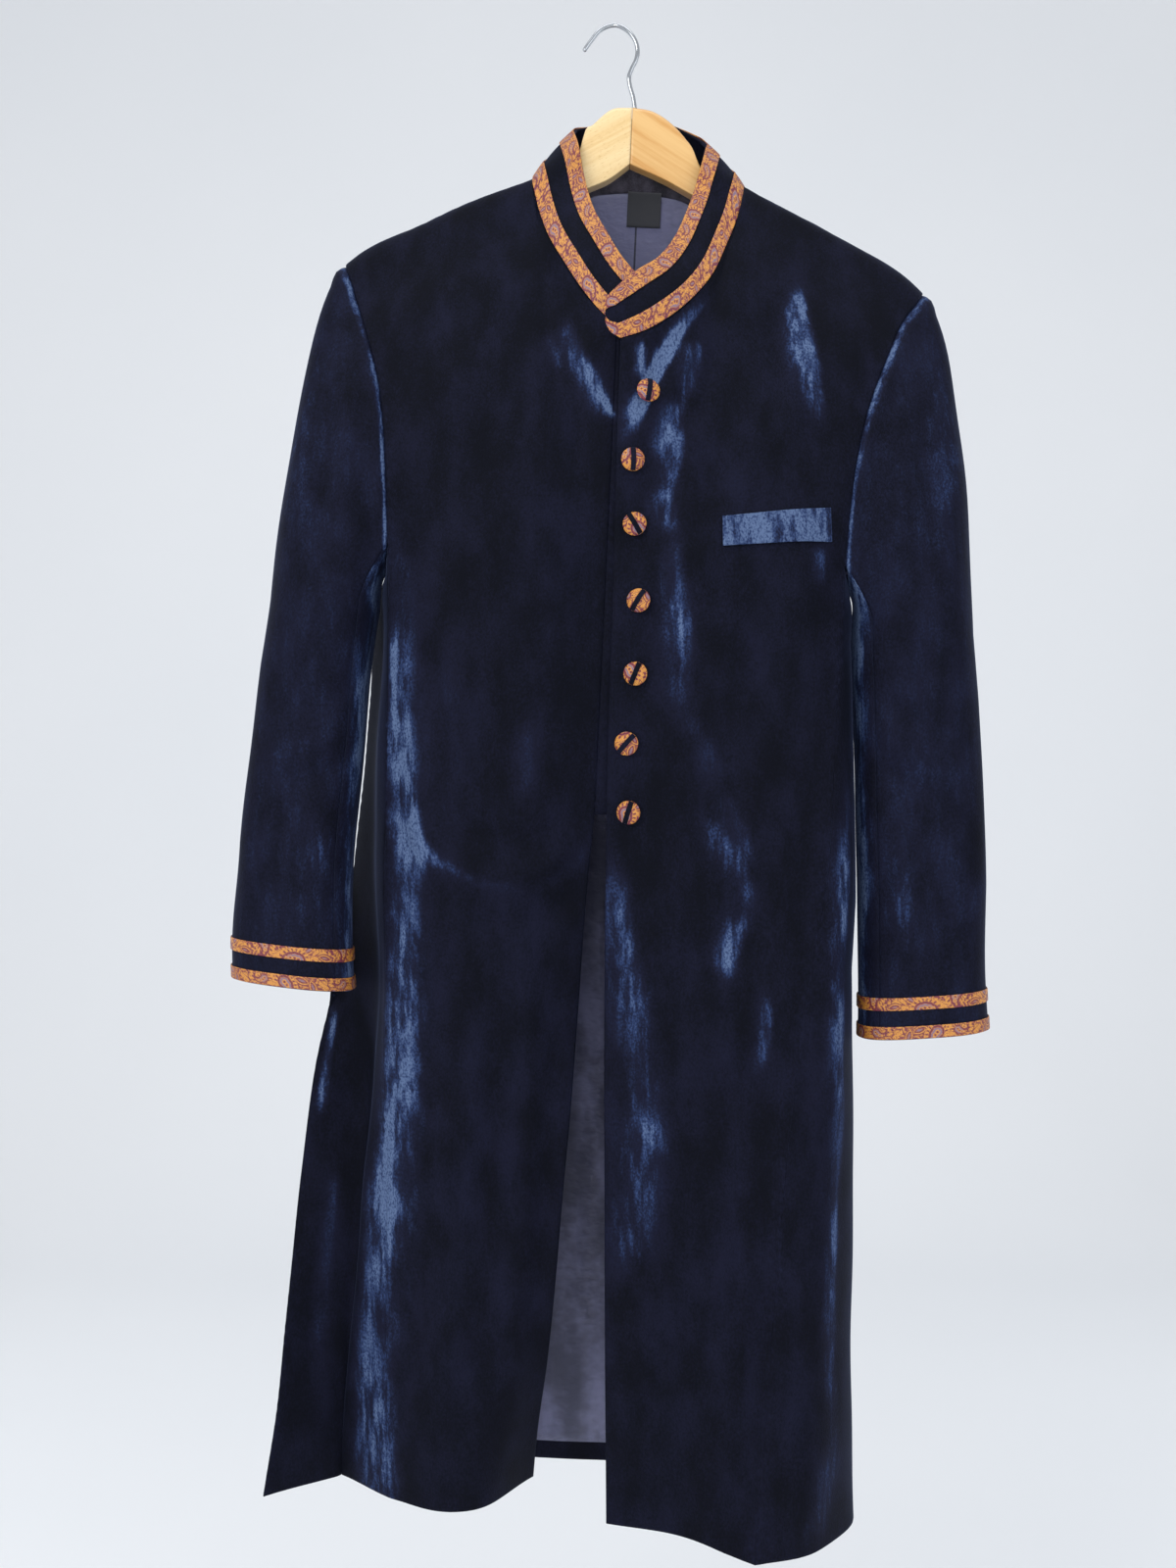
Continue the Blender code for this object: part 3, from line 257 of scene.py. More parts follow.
SECTION_RIGHT = table(
    "z edge_x edge_y mid_x mid_y fold_x fold_y seam_x seam_y one_x one_y two_x two_y back_x back_y",
    (-440, -12, -81, -85, -93, -142, -84, -182, -62, -185, -42, -188, -16, -189, 12),
    (-480, -12, -81, -85, -94, -142, -86, -179, -66, -181, -43, -183, -14, -198, 17),
    (-560, -12, -79, -85, -94, -141, -87, -176, -67, -179, -41, -183, -9, -202, 19),
    (-641, -12, -75, -85, -91, -140, -85, -174, -64, -178, -39, -184, -9, -205, 19),
    (-740, -16, -64, -85, -85, -138, -79, -170, -59, -176, -42, -184, -18, -213, 14),
    (-800, -17, -59, -85, -80, -135, -74, -168, -56, -174, -42, -184, -22, -222, 9),
    (-860, -19, -57, -85, -76, -133, -71, -165, -54, -177, -36, -186, -7, -229, -3),
    (-940, -22, -54, -85, -71, -130, -67, -160, -51, -180, -34, -188, -11, -233, -20),
    (-1060, -27, -42, -85, -66, -126, -62, -155, -48, -184, -25, -192, -11, -236, -37),
    (-1130, -32, -16, -82, -60, -123, -60, -152, -45, -187, -16, -195, -12, -238, -46),
    (-1187, -35, 4, -80, -57, -118, -58, -149, -43, -187, -10, -197, -13, -244, -51),
)
FRONT_STATIONS = (0.0, 0.5, 0.8, 1.0)
SIDE_STATIONS = (0.0, 0.34, 0.68, 1.0)

# Back panel: half width and depth of its blade and centre, and its own free
# edges below the slits.
BACK_SECTION = table(
    "z left_x left_y right_x right_y blade_x blade_y centre_y",
    (-440, 186, 12, -189, 12, 140, 28, 29),
    (-480, 194, 16, -198, 17, 142, 28, 28),
    (-560, 199, 17, -202, 19, 142, 28, 28),
    (-641, 202, 17, -205, 19, 142, 28, 28),
    (-740, 203, 16, -213, 14, 144, 28, 28),
    (-800, 203, 14, -222, 9, 146, 28, 28),
    (-860, 199, 19, -219, 24, 152, 28, 28),
    (-940, 200, 22, -213, 26, 152, 28, 28),
    (-1080, 202, 23, -211, 27, 150, 28, 28),
    (-1187, 204, 23, -214, 27, 150, 28, 28),
)
BACK_STATIONS = (0.0, 0.75, 1.0)

# Sleeve sections below the armhole, by height; slant is how far each drops
# towards the body, as a share of its width.
SLEEVE_LEFT = table(
    "z inner outer front back slant",
    (-484, 185, 280, -77, 14, 0.0),
    (-540, 189, 286, -75, 10, 0.02),
    (-610, 194, 293, -73, 6, 0.05),
    (-700, 200, 299, -71, 3, 0.09),
    (-770, 205, 304, -69, 0, 0.12),
    (-801, 206, 307, -68, -2, 0.125),
)
SLEEVE_RIGHT = table(
    "z inner outer front back slant",
    (-484, -191, -274, -77, 14, 0.0),
    (-540, -194, -279, -75, 10, 0.01),
    (-610, -197, -285, -73, 6, 0.03),
    (-688, -201, -291, -71, 3, 0.05),
    (-740, -199, -293, -69, 1, 0.06),
    (-786, -195, -290, -68, -2, 0.066),
)

# Button centres on the left front, and the turn of the strip across each.
BUTTONS = table(
    "x z strip",
    (13, -318, 84),
    (4, -371, 92),
    (8, -420, 123),
    (14, -478, 60),
    (14, -533, 70),
    (10, -586, 50),
    (14, -638, 75),
)
# corners of the breast welt
WELT = table(
    "x z",
    (74, -411),
    (157, -398),
    (159, -424),
    (75, -434),
)
LABEL = table("x z", (-8, -121), (20, -121), (20, -151), (-8, -151))

# Front outline of the hanger from its middle joint to where the arms pass
# under the shoulders: top edge of the left and the right arm, then the lower
# edge, alike on both.
HANGER_TOP = table(
    "left_x left_z right_x right_z",
    (-8, -66, -8, -66),
    (10, -69, -26, -69),
    (26, -79, -40, -82),
    (36, -89, -46, -88),
    (43, -98, -48, -97),
    (47, -107, -51, -109),
    (60, -125, -61, -123),
    (84, -143, -84, -143),
)
HANGER_LOW = table(
    "x z",
    (24, -126), (40, -134), (60, -144), (100, -160), (140, -180), (180, -202), (220, -226),
)
HANGER_JOINT = (-8.0, -113.0)
HANGER_ARM_FROM = 104.0
HANGER_TIP_X = 214.0
HANGER_UNDER = 4.9     # from the shoulder line down to the arm
HANGER_TOP_ROUND = 4   # radii of its rounded edges
HANGER_LOW_ROUND = 1
# centre line of the hook's wire
HOOK_ROUTE = table(
    "x z",
    (-6, -65.6), (-8, -56), (-11, -47), (-12, -40), (-10, -33), (-7, -26),
    (-6, -20), (-7.5, -12), (-12.5, -4.5), (-18, -0.4), (-25, 1.8), (-32, 0.2),
    (-38, -3.5), (-43, -10), (-47, -16), (-50, -21),
)

# rows of the yoke at which a sleeve's columns are spread, and shares of the
# fronts and the back that lie under the neck
YOKE_ROWS = np.array([0, 0.008, 0.035, 0.12, 0.26, 0.42, 0.6, 0.8, 1.0])
NECK_SHARE = 0.5
BACK_NECK_SHARE = 0.42
COLLAR_ENDS = 2
COLLAR_BAND_SHARE = 0.31
# lower edge of the neck facing, an arch over the label: place from the middle
# as a share of half the neck, and depth as a share of the yoke's
FACING_ARCH = table(
    "off share",
    (0, 0.066), (0.35, 0.074), (0.6, 0.098), (0.8, 0.132), (1, 0.18), (4, 0.18),
)
# how wide the velvet is turned inside at each edge of a panel
FACINGS = {
    "front_left": {"start": 55.0, "top": 40.0, "bottom": 32.0},
    "front_right": {"start": 55.0, "top": 40.0, "bottom": 32.0},
    "side_left": {"bottom": 32.0}, "side_right": {"bottom": 32.0},
    "back": {"start": 24.0, "end": 24.0, "bottom": 21.0},
}
# angles round a sleeve, from its outermost point over the front, of its two seams
FRONT_SEAM_ANGLE = 138.0
BACK_SEAM_ANGLE = 222.0


# ---- surfaces

def seam_points(data, free=False):
    names = ("free_x", "free_y", "free_z") if free else ("x", "y", "z")
    return np.stack([data[name] for name in names], axis=1)


def patch(top, bottom, left, right, s, v):
    """Surface between four edge curves: top and bottom by s, sides by v."""
    s = s[:, None, None]
    v = v[None, :, None]
    top, bottom = top[:, None, :], bottom[:, None, :]
    left, right = left[None, :, :], right[None, :, :]
    across = (1 - v) * top + v * bottom + (1 - s) * left + s * right
    corners = ((1 - s) * (1 - v) * left[:, :1] + s * (1 - v) * right[:, :1]
               + (1 - s) * v * left[:, -1:] + s * v * right[:, -1:])
    return across - corners


def shoulder_roll(points, s, v, neck_share):
    """How far the cloth stands out where it rolls over the hanger's arm."""
    drop = points[:, :1, 2] - points[:, :, 2]
    part = np.clip(drop / SHOULDER_ROUND, 0.0, 1.0)
    roll = SHOULDER_ROUND * np.sqrt(1.0 - (1.0 - part) ** 2)
    near_neck = np.interp(s, (neck_share - 0.1, neck_share, neck_share + 0.12), (0.0, 0.6, 1.0))
    return roll * (1.0 - v[None, :]) * near_neck[:, None]


def section(data, names, stations, s, z):
    """Points of level sections of a table's named stations."""
    xs = np.stack([column_at(data, name + "_x", z) for name in names])
    ys = np.stack([column_at(data, name + "_y", z) for name in names])
    x = spline(stations, xs, s)
    y = spline(stations, ys, s)
    return np.stack([x, y, np.broadcast_to(z, x.shape)], axis=-1)


def shoulder_line(neck_point, tip, share):
    """Shoulder seam from the neck to the tip, arched over the hanger's arm."""
    line = neck_point + share[:, None] * (tip - neck_point)
    line[:, 2] += spline(SHOULDER_ARCH["share"], SHOULDER_ARCH["rise"], share)
    return line


def yoke_top(neck_line, arm, neck_share, s):
    """Points of a panel's top at shares s of its neck seam and then of its shoulder."""
    tip = np.array([arm["front_x"][0], 0.0, arm["z"][0]])
    over = s <= neck_share
    top = np.empty((len(s), 3))
    top[over] = along(neck_line, s[over] / neck_share)
    rest = (s[~over] - neck_share) / (1 - neck_share)
    top[~over] = shoulder_line(neck_line[-1], tip, rest)
    return top


def armhole_edge(arm, face, v):
    """Points down the front or the back edge of an armhole."""
    z = arm["z"][0] + v * (ARMHOLE_Z - arm["z"][0])
    return np.stack([column_at(arm, face + "_x", z), column_at(arm, face + "_y", z), z], axis=1)


def front_grid(half, s, v, z):
    """Front panel from its edge to the side seam, shoulder to hem."""
    levels = half["section"]
    top = yoke_top(seam_points(half["neck"])[::-1], half["armhole"], NECK_SHARE, s)
    names = ("edge", "mid", "fold", "seam")
    bottom = section(levels, names, FRONT_STATIONS, s, np.array([ARMHOLE_Z]))[:, 0]
    left = top[0] + v[:, None] * (bottom[0] - top[0])
    yoke = patch(top, bottom, left, armhole_edge(half["armhole"], "front", v), s, v)
    yoke[..., 1] -= shoulder_roll(yoke, s, v, NECK_SHARE)
    body = section(levels, names, FRONT_STATIONS, s, z[1:])
    return np.concatenate([yoke, body], axis=1)


def side_grid(half, s, z):
    """Side panel from the front seam to its back edge, underarm to hem."""
    names = ("seam", "one", "two", "back")
    body = section(half["section"], names, SIDE_STATIONS, s, z)
    body[:, 0, 2] -= UNDERARM_DIP * np.sin(math.pi * s)
    return body


def back_half(half, s, v, z):
    """Back panel from its middle to one side, neck to hem."""
    neck_line = seam_points(NECK_BACK)[::-1] * (half["side"], 1, 1)
    top = yoke_top(neck_line, half["armhole"], BACK_NECK_SHARE, s)
    body = back_levels(half, s, z)
    middle_z = top[0, 2] + v * (ARMHOLE_Z - top[0, 2])
    middle_y = BACK_MIDDLE_Y + (top[0, 1] - BACK_MIDDLE_Y) * (1 - v) ** 3
    left = np.stack([np.zeros_like(v), middle_y, middle_z], axis=1)
    yoke = patch(top, body[:, 0], left, armhole_edge(half["armhole"], "back", v), s, v)
    yoke[..., 1] += shoulder_roll(yoke, s, v, BACK_NECK_SHARE)
    return np.concatenate([yoke, body[:, 1:]], axis=1)


def back_levels(half, s, z):
    """Level sections of the back, from its middle to one side."""
    name = "left" if half["side"] > 0 else "right"
    z = np.where(z < BACK_HEM_Z, BACK_HEM_Z, z)
    edge_x = column_at(BACK_SECTION, name + "_x", z)
    edge_y = column_at(BACK_SECTION, name + "_y", z)
    blade_x = column_at(BACK_SECTION, "blade_x", z) * half["side"]
    blade_y = column_at(BACK_SECTION, "blade_y", z)
    centre_y = column_at(BACK_SECTION, "centre_y", z)
    xs = np.stack([np.zeros_like(z), blade_x, edge_x])
    ys = np.stack([centre_y, blade_y, edge_y])
    x = spline(BACK_STATIONS, xs, s)
    y = spline(BACK_STATIONS, ys, s)
    return np.stack([x, y, np.broadcast_to(z, x.shape)], axis=-1)


def sleeve_ring(data, angles, z):
    """Rounded sections of a sleeve; angle 0 is outermost, 90 the front."""
    inner = column_at(data, "inner", z)
    outer = column_at(data, "outer", z)
    front = column_at(data, "front", z)
    back = column_at(data, "back", z)
    c, s = np.cos(angles)[:, None], np.sin(angles)[:, None]
    x = (inner + outer) / 2 + (outer - inner) / 2 * np.sign(c) * np.abs(c) ** SLEEVE_SQUARE
    y = (front + back) / 2 + (front - back) / 2 * np.sign(s) * np.abs(s) ** SLEEVE_SQUARE
    towards_body = np.abs((inner + outer) / 2) - np.abs(x)
    return np.stack([x, y, z - column_at(data, "slant", z) * towards_body], axis=-1)


def sleeve_grid(half, armhole, angles, cap, z):
    """Sleeve from the armhole's points to the cuff.

    The cap leaves the armhole outwards and bends down into the first level
    section; cap holds its rows as fractions and z the level rows.
    """
    rings = sleeve_ring(half["sleeve"], angles, z)
    first = rings[:, 0]
    outness = np.clip(np.cos(angles), 0, 1)
    frontness = np.abs(np.sin(angles))
    start = np.zeros_like(first)
    start[:, 0] = half["side"] * (CAP_OUT[0] + CAP_OUT[1] * outness + CAP_OUT[2] * frontness)
    start[:, 1] = (first[:, 1] - armhole[:, 1]) * 0.8
    start[:, 2] = -CAP_DOWN[0] - CAP_DOWN[1] * outness - CAP_DOWN[2] * frontness
    reach = np.linalg.norm(first - armhole, axis=1)
    end = np.zeros_like(first)
    end[:, 0] = half["side"] * CAP_OUT[0] * outness
    end[:, 2] = -reach
    t = cap[None, :, None]
    a, b = armhole[:, None], first[:, None]
    head = ((1 + 2 * t) * (1 - t) ** 2 * a + t * (1 - t) ** 2 * start[:, None]
            + t * t * (3 - 2 * t) * b - t * t * (1 - t) * end[:, None])
    return np.concatenate([head, rings[:, 1:]], axis=1)




# ---- the coat's form

LEFT = {"side": 1, "neck": NECK_LEFT, "armhole": ARMHOLE_LEFT, "section": SECTION_LEFT,
        "sleeve": SLEEVE_LEFT, "name": "left"}
RIGHT = {"side": -1, "neck": NECK_RIGHT, "armhole": ARMHOLE_RIGHT, "section": SECTION_RIGHT,
         "sleeve": SLEEVE_RIGHT, "name": "right"}
EDGE_STEPS = np.array([0.0, 0.35, 0.9, 1.7, 2.9])  # places of a rounded edge, in mm from it
YOKE_DEPTH = 240.0     # usual distance from the shoulder down to the underarm
# usual lengths in mm, which set how many columns or rows a stretch gets
NECK_RUN, SHOULDER_RUN, BACK_NECK_RUN, SIDE_RUN = 230, 160, 92, 120
CAP_RUN, COLLAR_RUN, TAB_RUN = 95, 43, 14
CORNER_COLUMNS = 12    # columns either side of the neck's corner that are smoothed
CORNER_PASSES = 60


def graded(length, step):
    """Fractions of a length in even steps, closer together at both of its ends."""
    inner = np.linspace(EDGE_STEPS[-1], length - EDGE_STEPS[-1], max(int(length / step), 2))
    return np.concatenate([EDGE_STEPS[:-1], inner, length - EDGE_STEPS[-2::-1]]) / length


def from_edge(length, step):
    """Fractions of a length in even steps, closer together at its start alone."""
    rest = np.linspace(EDGE_STEPS[-1], length, int(length / step))
    return np.concatenate([EDGE_STEPS[:-1], rest]) / length


def graded_levels(top, bottom, step):
    """Heights from top to bottom in even steps, closer together at the hem."""
    return top + (bottom - top) * graded(top - bottom, step)[len(EDGE_STEPS) - 1:]


def yoke_levels(step):
    """Fractions from the shoulder to the underarm, fine where the cloth rolls over the hanger."""
    near = EDGE_STEPS / YOKE_DEPTH
    rolled = np.linspace(near[-1], 0.12, 14)[1:]
    rest = np.linspace(0.12, 1.0, int(0.88 * YOKE_DEPTH / step))[1:]
    return np.concatenate([near, rolled, rest])


def body_levels(step):
    """Heights from the underarm to the hem, with the stand's end and the slit's top among them."""
    stops = (ARMHOLE_Z, STAND_END_Z, SLIT_TOP_Z)
    levels = [np.linspace(a, b, int((a - b) / step))[:-1] for a, b in zip(stops, stops[1:])]
    return np.concatenate(levels + [[SLIT_TOP_Z], graded_levels(SLIT_TOP_Z, HEM_Z, step)[1:]])


def coat_form(step):
    """Every panel of the coat as a sheet, in mm; step is the spacing of its points."""
    form = {"v": yoke_levels(step), "z": body_levels(step)}
    neck = from_edge(NECK_RUN, step) * NECK_SHARE
    to_tip = from_edge(SHOULDER_RUN, step)[::-1]
    shoulder = 1 - to_tip * (1 - NECK_SHARE)
    form["s_front"] = np.concatenate([neck, shoulder[1:]])
    back_neck = np.linspace(0, BACK_NECK_SHARE, int(BACK_NECK_RUN / step))
    back_shoulder = 1 - to_tip * (1 - BACK_NECK_SHARE)
    form["s_back"] = np.concatenate([back_neck, back_shoulder[1:]])
    form["neck"] = len(neck) - 1
    form["back_neck"] = len(back_neck) - 1
    form["under"] = len(form["v"]) - 1
    form["slit"] = form["under"] + int(np.argmin(np.abs(form["z"] - SLIT_TOP_Z)))
    form["stand"] = form["under"] + int(np.argmin(np.abs(form["z"] - STAND_END_Z)))
    form["s_side"] = graded(SIDE_RUN, step)
    body_sheets(form)
    for half in (LEFT, RIGHT):
        form["sleeve_" + half["name"]] = sleeve_sheet(form, half, step)
        form["collar_" + half["name"]] = collar_sheet(form, half)
    form["stand_strip"] = stand_sheet(form, step)
    join_seams(form)
    return form


def body_sheets(form):
    """Fronts, side panels and back, with their shared seams' points."""
    under, slit, z = form["under"], form["slit"], form["z"]
    backs = {}
    for half in (LEFT, RIGHT):
        front = front_grid(half, form["s_front"], form["v"], z)
        flank = side_grid(half, form["s_side"], z)
        back = back_half(half, form["s_back"], form["v"], z)
        # above the slit the side panel's edge is the back's own edge
        fade = np.where(np.arange(len(z)) <= slit - under, 1.0, 0.0)[None, :, None]
        gap = (back[-1, under:] - flank[-1])[None] * fade
        flank = flank + gap * form["s_side"][:, None, None] ** 3
        flank[0, 0] = front[-1, under]
        front = eased(front, form["neck"], rising(0, 25, front[:, :1, 2] - front[..., 2])[..., None])
        form["front_" + half["name"]] = even_normals(new_sheet(front, half["side"]), form["neck"])
        form["side_" + half["name"]] = new_sheet(flank, half["side"])
        backs[half["name"]] = back
    whole = np.concatenate([backs["right"][::-1], backs["left"][1:]])
    form["back"] = new_sheet(whole, -1)
    form["middle"] = len(backs["right"]) - 1


def eased(values, column, share):
    """Values smoothed across the columns about the neck's corner, by a share."""
    reach = np.clip(1.4 - np.abs(np.arange(len(values)) - column) / CORNER_COLUMNS, 0, 1)[:, None, None]
    soft = values
    for _ in range(CORNER_PASSES):
        beside = np.concatenate([soft[:1], (soft[:-2] + soft[2:]) / 2, soft[-1:]])
        soft = soft + 0.5 * (beside - soft) * reach
    return values + (soft - values) * share


def even_normals(sheet, column):
    """A sheet whose normals do not flicker where its columns crowd together."""
    sheet["normals"] = unit(eased(sheet["normals"], column, 1.0))
    sheet["offsets"] = sheet["normals"].copy()
    return sheet


def sleeve_sheet(form, half, step):
    """One sleeve as a tube of columns from the shoulder tip round the armhole."""
    name, side, under = half["name"], half["side"], form["under"]
    edge = back_edge(half)
    down = form["front_" + name]["grid"][-1, :under + 1]
    below = form["side_" + name]["grid"][1:, 0]
    up = form["back"]["grid"][edge, :under][::-1]
    loop = np.concatenate([down, below, up])
    turn = np.linspace(0, FRONT_SEAM_ANGLE, len(YOKE_ROWS))
    fore = spline(YOKE_ROWS, turn, form["v"])
    rear = 360 - (360 - BACK_SEAM_ANGLE) / FRONT_SEAM_ANGLE * fore
    across = FRONT_SEAM_ANGLE + (BACK_SEAM_ANGLE - FRONT_SEAM_ANGLE) * form["s_side"][1:]
    angles = np.radians(np.concatenate([fore, across, rear[:-1][::-1]]))
    first, cuff = half["sleeve"]["z"][0], half["sleeve"]["z"][-1]
    levels = graded_levels(first, cuff, step)
    cap = graded(CAP_RUN, step * 0.8)
    sleeve = new_sheet(sleeve_grid(half, loop, angles, cap, levels), -side)
    shared = unit(sleeve["normals"][0] + sleeve["normals"][-1])
    for column in (0, -1):
        sleeve["normals"][column] = shared
        sleeve["offsets"][column] = shared
    sleeve["levels"] = levels
    return sleeve


def back_edge(half):
    return -1 if half["side"] > 0 else 0


def collar_sheet(form, half):
    """Half of the standing collar, from its front end to the centre back."""
    name, side = half["name"], half["side"]
    end = COLLAR_TAB if side > 0 else COLLAR_UNDER
    share = form["s_front"][:form["neck"] + 1] / NECK_SHARE
    back_share = form["s_back"][:form["back_neck"]][::-1] / BACK_NECK_SHARE
    columns = form["middle"] + side * np.arange(form["back_neck"] - 1, -1, -1)
    base = form["front_" + name]["grid"][:form["neck"] + 1, 0]
    free = free_edge(half["neck"], share)
    behind = free_edge(NECK_BACK, back_share, "" if side > 0 else "right") * (side, 1, 1)
    tab = graded(TAB_RUN, 2.0)[:-len(EDGE_STEPS) + 1] * COLLAR_ENDS
    base_end = np.concatenate([seam_points(end)[::-1], base[:1]])
    free_end = np.concatenate([seam_points(end, free=True)[::-1], free[:1]])
    places = np.arange(COLLAR_ENDS + 1.0)
    base = np.concatenate([spline(places, base_end, tab), base, form["back"]["grid"][columns, 0]])
    free = np.concatenate([spline(places, free_end, tab), free, behind])
    form["tab_" + name] = len(tab)
    rise = graded(COLLAR_RUN, 2.4)[None, :, None]
    grid = base[:, None] * rise + free[:, None] * (1 - rise)
    bow = COLLAR_BOW * np.sin(math.pi * rise[..., 0])
    flat = new_sheet(grid, side)
    sheet = new_sheet(grid + flat["normals"] * bow[..., None], side)
    sheet["rise"] = rise[0, :, 0]
    return sheet


def free_edge(data, share, alike=""):
    """Free collar edge over the neck seam's points at shares of its length."""
    base = seam_points(data)[::-1]
    steps = np.linalg.norm(np.diff(base, axis=0), axis=1)
    lengths = np.concatenate([[0.0], np.cumsum(steps)])
    free = seam_points(data, free=True)[::-1].copy()
    if alike:
        free[:, 0] = data[alike + "_x"][::-1]
        free[:, 2] = data[alike + "_z"][::-1]
    return spline(lengths / lengths[-1], free, share)


def stand_sheet(form, step):
    """Strip on the right front's edge, under the left front, for the buttons."""
    edge = form["front_right"]["grid"][0, :form["stand"] + 1]
    drop = STAND_DROP * np.clip((edge[:, 2] - STAND_TOP_Z) / STAND_DROP / 2.5 + 1, 0, 1)
    far_z = edge[:, 2] - drop
    far_x = np.full(len(edge), STAND_EDGE_X)
    depth = depth_under(form["front_left"]["grid"], far_x, far_z) + STAND_BEHIND
    far = np.stack([far_x, depth, far_z], axis=1)
    share = graded(32, step)[::-1, None, None]
    return new_sheet(far[None] * share + edge[None] * (1 - share), -1)


def depth_under(grid, x, z):
    """Depth of a front grid at places given by x and z."""
    out = []
    for px, pz in zip(x, z):
        row_x = np.array([np.interp(-pz, -column[:, 2], column[:, 0]) for column in grid])
        row_y = np.array([np.interp(-pz, -column[:, 2], column[:, 1]) for column in grid])
        order = np.argsort(row_x)
        out.append(np.interp(px, row_x[order], row_y[order]))
    return np.array(out)


def new_sheet(grid, turn):
    """A grid of outer points with normals and the directions of its wall.

    Rows run down; turn is 1 where columns run to the wearer's left along the
    front, and -1 where they run the other way.
    """
    across = np.gradient(grid, axis=0)
    down = np.gradient(grid, axis=1)
    normals = unit(np.cross(down, across)) * turn
    return {"grid": grid, "turn": turn, "normals": normals, "offsets": normals.copy()}


def join(*edges):
    """Give pieces that meet along a seam one mitre for their edges.

    Each edge is (sheet, index); like points of the edges coincide.
    """
    views = [piece["normals"][index].reshape(-1, 3) for piece, index in edges]
    together = unit(sum(views))
    for (piece, index), own in zip(edges, views):
        cosine = np.sum(together * own, axis=1, keepdims=True)
        mitred = np.where(cosine > MITRE_LIMIT, together / np.maximum(cosine, MITRE_LIMIT), own)
        piece["offsets"][index] = mitred.reshape(piece["normals"][index].shape)


def join_seams(form):
    """Mitre every seam, its corners last."""
    back, middle, under, slit = form["back"], form["middle"], form["under"], form["slit"]
    armhole = np.arange(under + 1)
    for half in (LEFT, RIGHT):
        name, side, edge = half["name"], half["side"], back_edge(half)
        front, flank = form["front_" + name], form["side_" + name]
        sleeve, collar = form["sleeve_" + name], form["collar_" + name]
        last, end = sleeve["grid"].shape[0] - 1, form["tab_" + name]
        neck = np.arange(form["neck"] + 1)
        shoulder = np.arange(len(form["s_front"]) - form["neck"])
        back_neck = middle + side * np.arange(form["back_neck"] - 1, -1, -1)
        corner = middle + side * form["back_neck"]
        join((front, (-1, slice(under + 1, None))), (flank, (0, slice(1, None))))
        join((flank, (-1, slice(1, slit - under + 1))), (back, (edge, slice(under + 1, slit + 1))))
        join((front, (form["neck"] + shoulder, 0)), (back, (corner + side * shoulder, 0)))
        join((front, (-1, armhole)), (sleeve, (armhole, 0)))
        join((back, (edge, armhole)), (sleeve, (last - armhole, 0)))
        join((front, (neck, 0)), (collar, (end + neck, -1)))
        join((back, (back_neck, 0)), (collar, (end + form["neck"] + 1 + np.arange(len(back_neck)), -1)))
        # corners where three pieces meet
        join((front, (form["neck"], 0)), (back, (corner, 0)), (collar, (end + form["neck"], -1)))
        join((front, (-1, 0)), (back, (edge, 0)), (sleeve, (0, 0)))
        sleeve["offsets"][-1, 0] = sleeve["offsets"][0, 0]
        join((front, (-1, under)), (flank, (0, 0)))
        join((back, (edge, under)), (flank, (-1, 0)))
    join((form["collar_left"], (-1, slice(None))), (form["collar_right"], (-1, slice(None))))
    join((form["front_right"], (0, slice(0, form["stand"] + 1))), (form["stand_strip"], (-1, slice(None))))


def reread(sheet, read):
    """A sheet whose points and wall directions are both read from another's."""
    return {"turn": sheet["turn"], "grid": read(sheet["grid"]), "offsets": read(sheet["offsets"])}


def down_columns(knots, values, at):
    """Values of a grid read along its columns, whose rows stand at the knots."""
    return spline(knots, values.swapaxes(0, 1), at).swapaxes(0, 1)


def arc_lengths(grid, axis):
    """Running length along each line of a grid, in mm."""
    steps = np.linalg.norm(np.diff(grid, axis=axis), axis=-1)
    zero = np.zeros_like(np.take(steps, [0], axis=axis))
    return np.concatenate([zero, np.cumsum(steps, axis=axis)], axis=axis)


def placed(points):
    """Points of the coat's frame, in mm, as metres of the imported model's frame."""
    lean = math.radians(LEAN)
    x, y, z = points[..., 0] + AXIS_FROM_HOOK, points[..., 1], points[..., 2]
    turned = (x * math.cos(lean) + z * math.sin(lean), y, z * math.cos(lean) - x * math.sin(lean))
    return np.stack(turned, axis=-1) * MM


# ---- folds and painted sheen

def strokes(front, back):
    """Strokes in the coat's x and z on its front and on its back, as one table.

    bend is how far a stroke bows to its left, width its half width, and size
    the rise of a fold, below 0 for a trough; in a sheen table, how bright the painted sheen is.
    """
    rows = [(-1, *row) for row in front] + [(1, *row) for row in back]
    return table("face x0 z0 x1 z1 bend width size", *rows)


